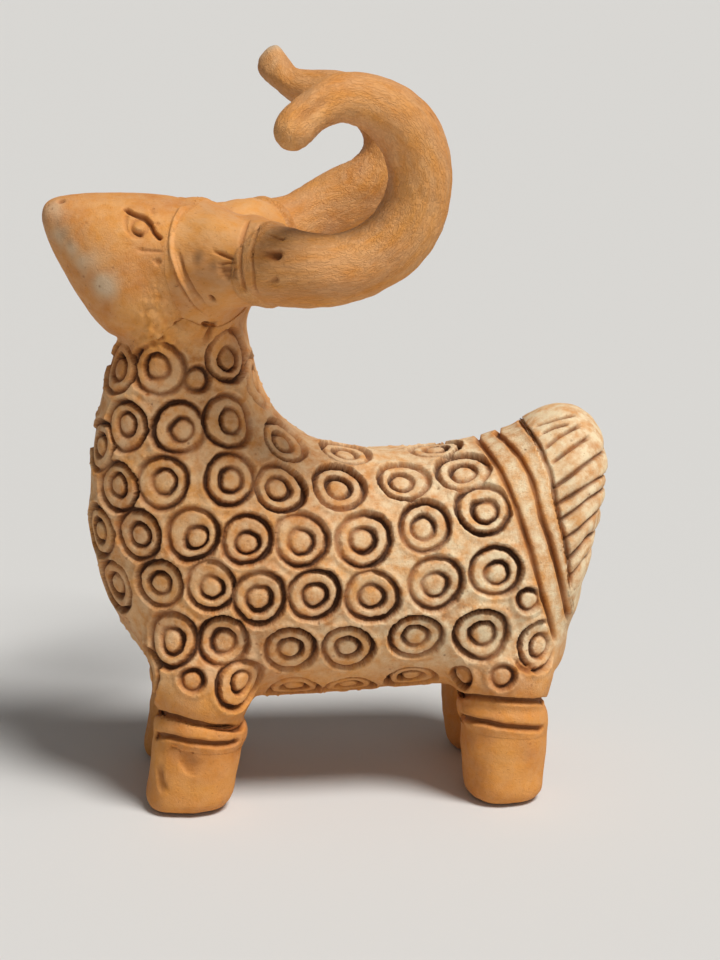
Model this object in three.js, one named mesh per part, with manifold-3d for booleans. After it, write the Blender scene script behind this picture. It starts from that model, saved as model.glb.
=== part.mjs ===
// Terracotta figurine of a horned animal, hand built from clay pieces that are luted together.
// Millimetres, +Z up. The animal looks along -X, its left side faces -Y, and it stands on z = 0.
// Every piece is a closed solid, and neighbours keep a thin slip seam between them.
import * as THREE from "three";
import { mergeVertices } from "three/addons/utils/BufferGeometryUtils.js";
import Module from "manifold-3d";

const wasm = await Module();
wasm.setup();

// Slip seam between two luted pieces
const SEAM = 0.3;

// Trunk: a round barrel that turns up into the neck
const BODY_LENGTH = 88;
const BARREL_DEPTH = 44.6;
const BARREL_WIDTH = 42;
const RUMP_RISE = 5.4;
const RUMP_WIDTH = 35;
const NECK_SETBACK = 17;
const NECK_RISE = 36;
const NECK_DEPTH = 23;
const NECK_WIDTH = 22;
const NECK_FLARE = 3.7;
const NECK_END_TAPER = 4;
const GIRTH_LINE_DEPTH = 0.8;
const GIRTH_LINE_WIDTH = 1.5;

// Ring stamps pressed into both sides of the trunk: a ring and a dot, each in a trench
const STAMP_RADIUS = 4.1;
const STAMP_TRENCH_WIDTH = 1.1;
const STAMP_TRENCH_DEPTH = 1;
const STAMP_RING_RADIUS = 3.1;
const STAMP_DOT_RADIUS = 2;
const STAMP_SINK = 0.15;

// Legs: short stubs under four thighs, with a coil of clay laid round each joint
const BELLY_HEIGHT = 17.8;
const FRONT_LEG_HEIGHT = 15;
const HIND_LEG_HEIGHT = 16;
const THIGH_INSET = 6;
const THIGH_FLARE = 2.4;
const LEG_SPREAD = 26;
const FRONT_LEG_SETBACK = 19.5;
const HIND_LEG_SETBACK = 13.6;
const LEG_TOP_LENGTH = 16.4;
const FOOT_LENGTH = 14.6;
const LEG_WIDTH = 15;
const FRONT_FOOT_RAKE = -2.2;
const HIND_FOOT_RAKE = 0.7;
const FRONT_TOE = 1.4;
const SOLE_ROUND = 1.8;
const ANKLET_HEIGHT = 4.2;
const ANKLET_BED = 1.5;
const ANKLET_PROUD = 0.6;
const ANKLET_TILT = 0.12;

// Tail: a fluted lobe on the rump, wide where it joins and thin at its rim
const TAIL_REACH = 13.5;
const TAIL_ROOT = 8;
const FLUTE_COUNT = 11;
const FLUTE_DEPTH = 0.9;
const FLUTE_VALLEY = 1.6;

// Head: a wedge from a broad poll to a small blunt snout
const HEAD_LENGTH = 30.5;
const HEAD_DEPTH = 26;
const HEAD_WIDTH = 25;
const SNOUT_WIDTH = 11;
const HEAD_LIFT = 11.6;
const POLL_SETBACK = 5;

// Horns: flared at the root, swept back and out, then curled up, over and outwards
const HORN_ROOT_RADIUS = 9.9;
const HORN_COLLAR_RADIUS = 6.9;
const HORN_MIDDLE_RADIUS = 5.5;
const HORN_TIP_RADIUS = 3.5;
const HORN_SPLAY = 27;
const LEFT_SWEEP = 21.6;
const LEFT_LIFT = 1.2;
const LEFT_CURL_RADIUS = 15.2;
const LEFT_CURL_DEGREES = 217;
const LEFT_CURL_DRIFT = 17;
const LEFT_TIP_RISE = -3;
const RIGHT_SWEEP = 27.5;
const RIGHT_LIFT = 3;
const RIGHT_CURL_RADIUS = 10.7;
const RIGHT_CURL_DEGREES = 248;
const RIGHT_CURL_DRIFT = 17.5;
const RIGHT_TIP_RISE = 13;
const COLLAR_DISTANCE = 23.5;
const COLLAR_WIDTH = 2.8;
const COLLAR_BED = 0.7;
const COLLAR_PROUD = 0.5;

// Clay colours
const BUFF_CLAY = 0xcfa873;
const OCHRE_CLAY = 0xc08040;
const CLAY_ROUGHNESS = 0.9;

const breastX = -BODY_LENGTH / 2;
const rumpX = BODY_LENGTH / 2;
const backZ = BELLY_HEIGHT + BARREL_DEPTH;
const neckEndZ = backZ + NECK_RISE;
const neckFront = breastX + NECK_SETBACK - NECK_DEPTH / 2;
const neckBack = neckFront + NECK_DEPTH;

const lerp = THREE.MathUtils.lerp;
const shares = (steps) => Array.from({ length: steps + 1 }, (_, i) => i / steps);
const ringAngles = (sides) => Array.from({ length: sides }, (_, i) => (2 * Math.PI * i) / sides);

// A point on an ellipse-like outline of unit radius; a power under 1 squares its corners a little.
function roundPoint(angle, power) {
  const ease = (v) => Math.sign(v) * Math.abs(v) ** power;
  return [ease(Math.cos(angle)), ease(Math.sin(angle))];
}

// Triangles between two rings of points that start at the given indices.
function band(from, to, count) {
  const faces = [];
  for (let i = 0; i < count; i += 1) {
    const j = (i + 1) % count;
    faces.push(from + i, from + j, to + j, from + i, to + j, to + i);
  }
  return faces;
}

// A closed surface through rings of equally many points. Its ends are flat unless a point is given
// for the middle of the last one.
function loft(rings, endPoint) {
  const count = rings[0].length;
  const middle = (ring) => ring.reduce((sum, p) => sum.add(p), new THREE.Vector3()).divideScalar(count);
  const points = [...rings.flat(), middle(rings[0]), endPoint ?? middle(rings.at(-1))];
  const lastRing = (rings.length - 1) * count;
  const faces = rings.slice(1).flatMap((_, row) => band(row * count, (row + 1) * count, count));
  for (let i = 0; i < count; i += 1) {
    const j = (i + 1) % count;
    faces.push(points.length - 2, j, i, points.length - 1, lastRing + i, lastRing + j);
  }
  return new THREE.BufferGeometry().setFromPoints(points).setIndex(faces);
}

// A closed hoop through rings, the last joined to the first.
function hoop(rings) {
  const count = rings[0].length;
  const faces = rings.flatMap((_, row) => band(row * count, ((row + 1) % rings.length) * count, count));
  return new THREE.BufferGeometry().setFromPoints(rings.flat()).setIndex(faces);
}

// A solid from a closed geometry, turned to face outwards.
function solidOf(geometry) {
  const bare = geometry.clone();
  bare.deleteAttribute("normal");
  bare.deleteAttribute("uv");
  const merged = mergeVertices(bare, 1e-4);
  const vertProperties = merged.attributes.position.array;
  const triVerts = new Uint32Array(merged.index.array);
  const make = () => new wasm.Manifold(new wasm.Mesh({ numProp: 3, vertProperties, triVerts }));
  const solid = make();
  if (solid.volume() > 0) return solid;
  triVerts.reverse();
  return make();
}

function geometryOf(solid) {
  const { vertProperties, triVerts } = solid.getMesh();
  const geometry = new THREE.BufferGeometry();
  geometry.setAttribute("position", new THREE.BufferAttribute(vertProperties, 3));
  geometry.setIndex(new THREE.BufferAttribute(triVerts, 1));
  return geometry;
}

// The same solid on the other side of the animal.
function mirrored(solid) {
  return solidOf(geometryOf(solid).scale(1, -1, 1));
}

// Sections between two rails of the side outline. Each row holds the upper rail's x and z, the
// lower rail's x and z, and the half width; extra(place, angle) adds to the radius at a point.
function railRings(rows, places, sides, power, extra) {
  const rail = (x, z) => new THREE.CatmullRomCurve3(
    rows.map((row) => new THREE.Vector3(row[x], row[4], row[z])), false, "centripetal");
  const upper = rail(0, 1);
  const lower = rail(2, 3);
  return places.map((place) => {
    const top = upper.getPoint(place);
    const bottom = lower.getPoint(place);
    const half = (top.y + bottom.y) / 2;
    top.setY(0);
    bottom.setY(0);
    const centre = top.clone().lerp(bottom, 0.5);
    const reach = top.distanceTo(bottom) / 2;
    const up = top.clone().sub(bottom).normalize();
    return ringAngles(sides).map((angle) => {
      const [along, across] = roundPoint(angle, power);
      const more = extra(place, angle);
      const point = centre.clone().addScaledVector(up, along * (reach + more));
      return point.setY(across * (half + more));
    });
  });
}

// Pushes the end rings outwards, so that a grown solid clears the ends too.
function lengthened(rings, grow) {
  const push = (ring, inner) => ring.map((p, i) =>
    p.clone().add(p.clone().sub(inner[i]).normalize().multiplyScalar(grow)));
  return [push(rings[0], rings[1]), ...rings.slice(1, -1), push(rings.at(-1), rings.at(-2))];
}

// Trunk outline from the tail joint to the neck's end, as shares of the barrel and of the neck.
const torsoX = (share) => breastX + BODY_LENGTH * share;
const torsoZ = (share) => BELLY_HEIGHT + BARREL_DEPTH * share;
const neckZ = (share) => backZ + NECK_RISE * share;
const barrelHalf = BARREL_WIDTH / 2;
const rumpHalf = RUMP_WIDTH / 2;
const neckHalf = NECK_WIDTH / 2;
const TAIL_JOINT_TOP = [torsoX(0.906), backZ + RUMP_RISE];
const TAIL_JOINT_BOTTOM = [rumpX, torsoZ(0.29)];
const neckRootHalf = lerp(neckHalf, barrelHalf, 0.15);
const neckEndBack = neckBack - NECK_END_TAPER;
const neckEndFront = neckFront + NECK_END_TAPER;
const TRUNK_ROWS = [
  [...TAIL_JOINT_TOP, ...TAIL_JOINT_BOTTOM, rumpHalf],
  [torsoX(0.851), backZ + RUMP_RISE * 0.6, rumpX, torsoZ(0.22), lerp(rumpHalf, barrelHalf, 0.4)],
  [torsoX(0.801), backZ + RUMP_RISE * 0.32, torsoX(0.997), torsoZ(0.15), lerp(rumpHalf, barrelHalf, 0.65)],
  [torsoX(0.76), backZ + RUMP_RISE * 0.18, torsoX(0.975), torsoZ(0.03), lerp(rumpHalf, barrelHalf, 0.85)],
  [torsoX(0.73), backZ + RUMP_RISE * 0.1, torsoX(0.88), torsoZ(0.01), barrelHalf * 0.98],
  [torsoX(0.63), backZ, torsoX(0.69), torsoZ(0.01), barrelHalf],
  [torsoX(0.511), neckZ(0.03), torsoX(0.432), torsoZ(-0.015), barrelHalf],
  [torsoX(0.418), neckZ(0.135), torsoX(0.193), torsoZ(0.015), barrelHalf * 0.97],
  [neckBack + NECK_FLARE, neckZ(0.31), torsoX(0.051), torsoZ(0.332), barrelHalf * 0.88],
  [neckBack + NECK_FLARE * 0.43, neckZ(0.505), breastX, torsoZ(0.741), lerp(neckHalf, barrelHalf, 0.45)],
  [neckBack + NECK_FLARE * 0.14, neckZ(0.685), torsoX(0.022), neckZ(0.225), neckRootHalf],
  [neckBack - NECK_END_TAPER * 0.12, neckZ(0.825), neckFront, neckZ(0.585), neckHalf],
  [neckEndBack, neckZ(0.99), neckEndFront, neckZ(0.85), neckHalf * 0.75],
];

// Girth lines: the grooves of two straps round the rump, at rows of the outline.
const rowPlace = (row) => row / (TRUNK_ROWS.length - 1);
const GIRTH_PLACES = [rowPlace(1), rowPlace(2)];
const girthHalf = rowPlace(1) * (GIRTH_LINE_WIDTH / 2 / (TAIL_JOINT_TOP[0] - TRUNK_ROWS[1][0]));
function girthDip(place) {
  const off = Math.min(...GIRTH_PLACES.map((line) => Math.abs(place - line)));
  return -GIRTH_LINE_DEPTH * Math.max(0, 1 - off / girthHalf);
}
const TRUNK_PLACES = [
  ...GIRTH_PLACES.flatMap((line) => [line - girthHalf, line, line + girthHalf]),
  ...shares(24).filter((place) => GIRTH_PLACES.every((line) => Math.abs(place - line) > 1.4 * girthHalf)),
].sort((a, b) => a - b);

function trunkSolid(grow) {
  const rings = railRings(TRUNK_ROWS, TRUNK_PLACES, 18, 0.95, (place) => grow + girthDip(place));
  return solidOf(loft(lengthened(rings, grow)));
}

// Legs. Each is a tapered stub; the thigh above it belongs to the trunk.
const legY = LEG_SPREAD / 2;
const LEGS = {
  front: {
    x: breastX + FRONT_LEG_SETBACK,
    height: FRONT_LEG_HEIGHT,
    rake: FRONT_FOOT_RAKE,
    toe: FRONT_TOE,
  },
  hind: {
    x: rumpX - HIND_LEG_SETBACK,
    height: HIND_LEG_HEIGHT,
    rake: HIND_FOOT_RAKE,
    toe: 0,
  },
};
const LEG_SIDES = 16;
const LEG_POWER = 0.85;

// A ring round the left leg. Level on the ground, it tips with the anklet higher up. The toe
// lengthens the front of the foot.
function legRing(leg, { z, swell, tip, inset = 0 }) {
  const down = Math.max(0, 1 - z / leg.height);
  const length = lerp(LEG_TOP_LENGTH, FOOT_LENGTH, down) / 2 + swell;
  const width = LEG_WIDTH / 2 + swell;
  return ringAngles(LEG_SIDES).map((angle) => {
    const [along, across] = roundPoint(angle, LEG_POWER);
    const x = along * (along < 0 ? length + leg.toe * down : length);
    return new THREE.Vector3(
      leg.x + leg.rake * down + x,
      inset - legY + across * width,
      z - tip * ANKLET_TILT * x);
  });
}

// The coil covers the joint, half of it on the leg and half on the thigh.
const ankletBase = (leg) => leg.height - ANKLET_HEIGHT / 2;
const ankletTop = (leg) => leg.height + ANKLET_HEIGHT / 2;

function legSolid(leg) {
  return solidOf(loft([
    { z: 0, swell: -SOLE_ROUND, tip: 0 },
    { z: SOLE_ROUND * 0.3, swell: -SOLE_ROUND * 0.3, tip: 0 },
    { z: SOLE_ROUND, swell: 0, tip: 0 },
    { z: ankletBase(leg) - SEAM, swell: 0, tip: 1 },
    { z: ankletBase(leg), swell: -ANKLET_BED, tip: 1 },
    { z: leg.height - SEAM / 2, swell: -ANKLET_BED, tip: 1 },
  ].map((level) => legRing(leg, level))));
}

// The thigh leans in and widens as it rises into the barrel.
function thighSolid(leg, grow) {
  const thighTop = torsoZ(0.45);
  const rise = shares(5).map((share) => ({
    z: lerp(ankletTop(leg) + SEAM, thighTop, share),
    swell: THIGH_FLARE * Math.sqrt(share) + grow,
    tip: 1 - share,
    inset: THIGH_INSET * share ** 2,
  }));
  return solidOf(loft([
    { z: leg.height + SEAM / 2 - grow, swell: grow - ANKLET_BED, tip: 1 },
    { z: ankletTop(leg), swell: grow - ANKLET_BED, tip: 1 },
    ...rise,
  ].map((level) => legRing(leg, level))));
}

function bodySolid(grow) {
  return Object.values(LEGS).reduce((body, leg) => {
    const thigh = thighSolid(leg, grow);
    return body.add(thigh).add(mirrored(thigh));
  }, trunkSolid(grow));
}

// Stamps on the animal's left side in rows from the neck down to the belly. Each stands at a share of
// the body's length and a share of the barrel's depth.
const STAMP_ROWS = [
  [[0.075, 1.4], [0.145, 1.42], [0.285, 1.45]],
  [[0.075, 1.19], [0.18, 1.19], [0.285, 1.21], [0.395, 1.085]],
  [[0.055, 0.945], [0.145, 0.98], [0.285, 0.99], [0.385, 0.945], [0.505, 0.93], [0.635, 0.93], [0.76, 0.965]],
  [[0.095, 0.75], [0.205, 0.775], [0.315, 0.75], [0.42, 0.745], [0.545, 0.74], [0.67, 0.79], [0.795, 0.835]],
  [[0.055, 0.53], [0.135, 0.565], [0.24, 0.57], [0.335, 0.52], [0.445, 0.53], [0.565, 0.515], [0.69, 0.565],
    [0.815, 0.6]],
  [[0.16, 0.345], [0.265, 0.345], [0.4, 0.295], [0.515, 0.29], [0.65, 0.34], [0.785, 0.34], [0.91, 0.28]],
  [[0.41, 0.095], [0.525, 0.09], [0.65, 0.135]],
];
const STAMP_SIDES = 7;

// The first point of a mesh along a line, if there is one.
function firstHit(mesh, from, along) {
  return new THREE.Raycaster(from, along).intersectObject(mesh)[0]?.point;
}

// The middle of a stamp on the left side and the mean way that the surface looks round it.
function stampSpot(mesh, x, z) {
  const across = new THREE.Vector3(0, 1, 0);
  const offset = STAMP_RING_RADIUS / 2;
  const hitAt = (along, up) =>
    firstHit(mesh, new THREE.Vector3(x + along * offset, -BODY_LENGTH, z + up * offset), across);
  const middle = hitAt(0, 0);
  const ahead = hitAt(-1, 0);
  const behind = hitAt(1, 0);
  const above = hitAt(0, 1);
  const below = hitAt(0, -1);
  if (!(middle && ahead && behind && above && below)) return null;
  return { middle, normal: behind.sub(ahead).cross(above.sub(below)).normalize() };
}

// The die of a ring stamp, laid on the surface round a stamp's middle: its rim stands clear of the
// surface, then come the trench, the ring, the dot's trench and the dot. None is made where the
// surface ends within the stamp.
function stampTool(mesh, { middle, normal }) {
  const side = new THREE.Vector3(0, 0, 1).cross(normal).normalize();
  const up = normal.clone().cross(side);
  const clear = STAMP_TRENCH_DEPTH * 0.8;
  const rim = (STAMP_TRENCH_WIDTH / 2) * (1 + clear / STAMP_TRENCH_DEPTH);
  const rings = [
    [STAMP_RADIUS, rim, clear],
    [STAMP_RADIUS, 0, -STAMP_TRENCH_DEPTH],
    [STAMP_RING_RADIUS, 0, -STAMP_SINK],
    [STAMP_DOT_RADIUS, 0, -STAMP_TRENCH_DEPTH],
  ].map(([radius, off, height]) => ringAngles(STAMP_SIDES).map((angle) => {
    const out = side.clone().multiplyScalar(Math.cos(angle)).addScaledVector(up, Math.sin(angle));
    const start = middle.clone().addScaledVector(out, radius).addScaledVector(normal, STAMP_RADIUS);
    const foot = firstHit(mesh, start, normal.clone().negate());
    return foot?.addScaledVector(out, off).addScaledVector(normal, height);
  }));
  if (!rings.flat().every(Boolean)) return null;
  return solidOf(loft(rings, middle.clone().addScaledVector(normal, -STAMP_SINK)));
}

function stampedBody() {
  const plain = bodySolid(0);
  const mesh = new THREE.Mesh(geometryOf(plain));
  const tools = STAMP_ROWS.flat().flatMap(([along, height]) => {
    const spot = stampSpot(mesh, torsoX(along), torsoZ(height));
    const tool = spot && stampTool(mesh, spot);
    return tool ? [tool, mirrored(tool)] : [];
  });
  return plain.subtract(wasm.Manifold.union(tools));
}

// A flattened coil of clay in the bed at the top of a leg.
function ankletSolid(leg) {
  const inner = legRing(leg, { z: leg.height, swell: SEAM - ANKLET_BED, tip: 1 });
  const outer = legRing(leg, { z: leg.height, swell: ANKLET_PROUD, tip: 1 });
  const rings = inner.map((p, i) => ringAngles(6).map((angle) => {
    const [out, up] = roundPoint(angle, 0.7);
    return p.clone().lerp(outer[i], (1 + out) / 2)
      .add(new THREE.Vector3(0, 0, up * (ANKLET_HEIGHT / 2 - SEAM)));
  }));
  return solidOf(hoop(rings));
}

// The tail sits on the flat end of the trunk, between these two points.
const jointFoot = new THREE.Vector2(...TAIL_JOINT_BOTTOM);
const jointLine = new THREE.Vector2(...TAIL_JOINT_TOP).sub(jointFoot);
const jointLength = jointLine.length();
const jointOut = new THREE.Vector2(jointLine.y, -jointLine.x).normalize();

// Tail outline, from the foot of the joint line to its top. Each row gives a share of that line for
// the rim and how far the rim stands off it, a share of the line for the root and how deep the root
// goes, and the half width.
const TAIL_ROWS = [
  [-0.03, 0.02, -0.2, 1, 0.1],
  [0.13, 0.2, -0.1, 1, 0.66],
  [0.29, 0.45, 0.08, 1, 0.9],
  [0.456, 0.68, 0.24, 1, 1],
  [0.6, 0.86, 0.37, 1, 1],
  [0.75, 0.99, 0.52, 1, 0.94],
  [0.86, 0.985, 0.64, 1, 0.86],
  [0.95, 0.88, 0.75, 0.85, 0.72],
  [1.01, 0.7, 0.85, 0.65, 0.54],
  [1.035, 0.45, 0.92, 0.5, 0.34],
  [1.03, 0.2, 0.94, 0.4, 0.16],
].map(([rimShare, reach, rootShare, depth, half]) => {
  const along = (share) => jointFoot.clone().addScaledVector(jointLine, share);
  const rim = along(rimShare).addScaledVector(jointOut, TAIL_REACH * reach);
  const root = along(rootShare).addScaledVector(jointOut, -TAIL_ROOT * depth);
  return [rim.x, rim.y, root.x, root.y, rumpHalf * half];
});

// Flutes run from the girth line to the rim: narrow valleys between broad ribs.
const FLUTE_PLACES = shares(FLUTE_COUNT).slice(1, -1);
const valleyHalf = FLUTE_VALLEY / 2 / jointLength;
function tailSolid() {
  const valleys = FLUTE_PLACES.flatMap((line) => [line - valleyHalf, line, line + valleyHalf]);
  const ribs = FLUTE_PLACES.map((line) => line - 0.5 / FLUTE_COUNT);
  const ends = [0, 0.03, 0.97, 1].filter((end) => ribs.every((rib) => Math.abs(rib - end) > 0.02));
  const places = [...valleys, ...ribs, ...ends].sort((a, b) => a - b);
  const rings = railRings(TAIL_ROWS, places, 14, 1,
    (place) => (FLUTE_PLACES.includes(place) ? -FLUTE_DEPTH : 0));
  return solidOf(loft(rings));
}

// Head outline from the snout to the poll, set on the neck's end.
const headX = (share) => neckBack - POLL_SETBACK - HEAD_LENGTH * (1 - share);
const headZ = (share) => neckEndZ + HEAD_LIFT - HEAD_DEPTH * (1 - share);
const headHalf = HEAD_WIDTH / 2;
const snoutHalf = SNOUT_WIDTH / 2;
const HEAD_ROWS = [
  [headX(0), headZ(0.9), headX(0), headZ(0.86), snoutHalf * 0.25],
  [headX(0.03), headZ(0.955), headX(0.01), headZ(0.78), snoutHalf * 0.72],
  [headX(0.13), headZ(0.99), headX(0.06), headZ(0.62), snoutHalf],
  [headX(0.3), headZ(1), headX(0.19), headZ(0.36), lerp(snoutHalf, headHalf, 0.5)],
  [headX(0.55), headZ(1), headX(0.36), headZ(0.11), lerp(snoutHalf, headHalf, 0.9)],
  [headX(0.8), headZ(0.97), headX(0.62), headZ(0), headHalf],
  [headX(1.02), headZ(0.87), headX(0.98), headZ(0.1), headHalf * 0.8],
];

function headSolid(grow) {
  const rings = railRings(HEAD_ROWS, shares(13), 18, 0.92, () => grow);
  return solidOf(loft(lengthened(rings, grow)));
}

// Horn centre lines: an arm that sweeps out of the head, then an arc that drifts outwards.
const HORNS = {
  left: {
    side: -1,
    sweep: LEFT_SWEEP,
    lift: LEFT_LIFT,
    radius: LEFT_CURL_RADIUS,
    turn: LEFT_CURL_DEGREES,
    drift: LEFT_CURL_DRIFT,
    rise: LEFT_TIP_RISE,
  },
  right: {
    side: 1,
    sweep: RIGHT_SWEEP,
    lift: RIGHT_LIFT,
    radius: RIGHT_CURL_RADIUS,
    turn: RIGHT_CURL_DEGREES,
    drift: RIGHT_CURL_DRIFT,
    rise: RIGHT_TIP_RISE,
  },
};

function hornLine({ side, sweep, lift, radius, turn, drift, rise }) {
  const root = new THREE.Vector3(headX(0.88), 0, headZ(0.57));
  const bend = root.clone().add(new THREE.Vector3(sweep, side * HORN_SPLAY, lift));
  const arm = [0, 0.2, 0.4, 0.6, 0.8].map((share) => new THREE.Vector3(
    lerp(root.x, bend.x, share),
    bend.y * Math.sin((share * Math.PI) / 2),
    lerp(root.z, bend.z, share ** 3)));
  const curl = shares(12).map((share) => {
    const angle = THREE.MathUtils.degToRad(turn * share);
    return bend.clone().add(new THREE.Vector3(
      radius * Math.sin(angle),
      side * drift * share ** 3,
      radius * (1 - Math.cos(angle)) + rise * share ** 10));
  });
  return new THREE.CatmullRomCurve3([...arm, ...curl], false, "centripetal");
}

// A horn tapers from its flared root past the collar to a rounded tip.
function hornRadii(length) {
  const rest = length - COLLAR_DISTANCE;
  const profile = new THREE.CubicInterpolant(
    [0, COLLAR_DISTANCE * 0.5, COLLAR_DISTANCE, COLLAR_DISTANCE + rest * 0.25, COLLAR_DISTANCE + rest * 0.6,
      length - HORN_TIP_RADIUS, length],
    [HORN_ROOT_RADIUS, HORN_ROOT_RADIUS * 0.95, HORN_COLLAR_RADIUS, HORN_MIDDLE_RADIUS * 1.04,
      HORN_MIDDLE_RADIUS * 0.95, HORN_TIP_RADIUS, HORN_TIP_RADIUS], 1);
  return (distance) => {
    const past = Math.max(0, distance - length + HORN_TIP_RADIUS) / HORN_TIP_RADIUS;
    return profile.evaluate(distance)[0] * Math.sqrt(Math.max(0.01, 1 - past ** 2));
  };
}

// Rings round a horn, as distance along it and the amount to add to its radius.
function hornRings(line, steps, sides) {
  const length = line.getLength();
  const radiusAt = hornRadii(length);
  const across = new THREE.Vector3(0, 1, 0);
  return steps.map(([distance, more]) => {
    const share = Math.min(1, distance / length);
    const centre = line.getPointAt(share);
    const tangent = line.getTangentAt(share);
    const inward = across.clone().cross(tangent).normalize();
    const level = tangent.clone().cross(inward);
    const radius = radiusAt(distance) + more;
    return ringAngles(sides).map((angle) => centre.clone()
      .addScaledVector(inward, Math.cos(angle) * radius)
      .addScaledVector(level, Math.sin(angle) * radius));
  });
}

const HORN_SIDES = 12;
const collarStart = COLLAR_DISTANCE - COLLAR_WIDTH / 2;
const collarEnd = COLLAR_DISTANCE + COLLAR_WIDTH / 2;

function hornSolid(line) {
  const length = line.getLength();
  const straight = length - HORN_TIP_RADIUS;
  const before = shares(5).map((share) => [lerp(0, collarStart - SEAM, share), 0]);
  const bed = [[collarStart, -COLLAR_BED], [collarEnd, -COLLAR_BED]];
  const after = shares(22).map((share) => [lerp(collarEnd + SEAM, straight, share), 0]);
  const tip = [0.5, 0.85, 1].map((share) => [straight + HORN_TIP_RADIUS * share, 0]);
  return solidOf(loft(hornRings(line, [...before, ...bed, ...after, ...tip], HORN_SIDES)));
}

// Two beads of clay side by side in the collar's bed.
function collarSolid(line) {
  const bead = [[-1, 0], [-0.7, 1], [-0.35, 1], [0, 0.5], [0.35, 1], [0.7, 1], [1, 0]];
  const half = COLLAR_WIDTH / 2 - SEAM;
  const outer = bead.map(([along, height]) => [COLLAR_DISTANCE + along * half, height * COLLAR_PROUD]);
  const inner = [1, -1].map((along) => [COLLAR_DISTANCE + along * half, SEAM - COLLAR_BED]);
  const around = hornRings(line, [...outer, ...inner], HORN_SIDES);
  return solidOf(hoop(around[0].map((_, i) => around.map((ring) => ring[i]))));
}

// All that lies past the middle plane, so that the two horn roots meet there.
function otherSide(side) {
  const size = 4 * BODY_LENGTH;
  const block = new THREE.BoxGeometry(size, size, size);
  block.translate(0, (-side * (size - SEAM)) / 2, 0);
  return solidOf(block);
}

function piece(name, solid, color) {
  const material = new THREE.MeshStandardMaterial({ color, roughness: CLAY_ROUGHNESS });
  const mesh = new THREE.Mesh(geometryOf(solid), material);
  mesh.name = name;
  return mesh;
}

const trunk = new THREE.Group();
const bodyRoom = bodySolid(SEAM);
trunk.add(piece("body", stampedBody(), BUFF_CLAY));
trunk.add(piece("tail", tailSolid().subtract(bodyRoom), BUFF_CLAY));

const legs = new THREE.Group();
const trunkRoom = trunkSolid(SEAM);
for (const [end, leg] of Object.entries(LEGS)) {
  const stub = legSolid(leg).subtract(trunkRoom);
  const anklet = ankletSolid(leg).subtract(trunkRoom);
  legs.add(piece(`${end}_left_leg`, stub, OCHRE_CLAY));
  legs.add(piece(`${end}_right_leg`, mirrored(stub), OCHRE_CLAY));
  legs.add(piece(`${end}_left_anklet`, anklet, OCHRE_CLAY));
  legs.add(piece(`${end}_right_anklet`, mirrored(anklet), OCHRE_CLAY));
}

const headAndHorns = new THREE.Group();
const headRoom = headSolid(SEAM);
headAndHorns.add(piece("head", headSolid(0).subtract(bodyRoom), OCHRE_CLAY));
for (const [side, horn] of Object.entries(HORNS)) {
  const line = hornLine(horn);
  const cut = hornSolid(line).subtract(headRoom).subtract(bodyRoom).subtract(otherSide(horn.side));
  headAndHorns.add(piece(`${side}_horn`, cut, OCHRE_CLAY));
  headAndHorns.add(piece(`${side}_horn_collar`, collarSolid(line), OCHRE_CLAY));
}

// The origin is on the ground under the middle of the figurine.
const figurine = new THREE.Group();
figurine.add(trunk, legs, headAndHorns);
const box = new THREE.Box3().setFromObject(figurine);
figurine.position.set(-(box.min.x + box.max.x) / 2, -(box.min.y + box.max.y) / 2, 0);

const part = new THREE.Group();
part.add(figurine);
export default part;
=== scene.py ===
"""Dresses the packed clay figurine: fused clay pieces, ring stamps, cut lines and fired clay.

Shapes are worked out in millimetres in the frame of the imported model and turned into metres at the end.
"""

import math

import bpy
import numpy as np
import openvdb as vdb
from mathutils import Euler, Matrix, Vector
from mathutils.bvhtree import BVHTree


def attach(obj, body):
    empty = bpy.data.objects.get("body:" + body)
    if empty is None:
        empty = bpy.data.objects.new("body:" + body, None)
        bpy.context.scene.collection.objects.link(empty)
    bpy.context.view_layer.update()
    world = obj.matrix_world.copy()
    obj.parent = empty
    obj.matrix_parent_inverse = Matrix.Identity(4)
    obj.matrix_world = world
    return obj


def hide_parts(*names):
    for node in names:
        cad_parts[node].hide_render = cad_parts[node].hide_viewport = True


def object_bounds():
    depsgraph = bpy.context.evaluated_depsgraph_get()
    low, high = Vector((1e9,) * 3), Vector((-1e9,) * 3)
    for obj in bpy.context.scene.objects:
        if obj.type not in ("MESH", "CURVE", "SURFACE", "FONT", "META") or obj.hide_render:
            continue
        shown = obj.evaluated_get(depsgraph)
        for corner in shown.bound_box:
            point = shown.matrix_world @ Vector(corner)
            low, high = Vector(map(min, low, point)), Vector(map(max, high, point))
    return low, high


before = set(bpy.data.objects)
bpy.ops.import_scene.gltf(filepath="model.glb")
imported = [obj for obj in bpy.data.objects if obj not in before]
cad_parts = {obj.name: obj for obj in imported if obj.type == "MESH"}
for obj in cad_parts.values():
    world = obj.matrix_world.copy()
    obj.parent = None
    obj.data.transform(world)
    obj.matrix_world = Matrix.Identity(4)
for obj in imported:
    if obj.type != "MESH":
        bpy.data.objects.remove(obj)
cad_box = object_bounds()

MM = 0.001
rng = np.random.default_rng(7)

# The lattice's step, how far from a surface distances are kept, and the room left round a node.
VOXEL = 0.25
BAND = 9.0
PAD = np.array([8.0, 8.0, 8.0])
BODY_PAD = np.array([4.0, 4.0, 8.0])

# At a joint: how far neighbours overlap, and how far from its edge a piece's own detail is full.
OVERLAP = 0.13
JOINT_FADE = 1.5

# How far off slopes are taken, and how often points are moved on to the clay and on to a joint's edge.
SLOPE_STEP = 0.5
SETTLE_TIMES = 3
RIM_TIMES = 4

# In lattice steps: how deep a face lies that counts as inside a joint, how far a point may be moved to a
# joint's edge, how far off it may end there, and how far out of line it may stand.
INNER_DEPTH = 0.3
RIM_REACH = 1.5
RIM_MISS = 0.3
STRAY = 0.9

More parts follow.
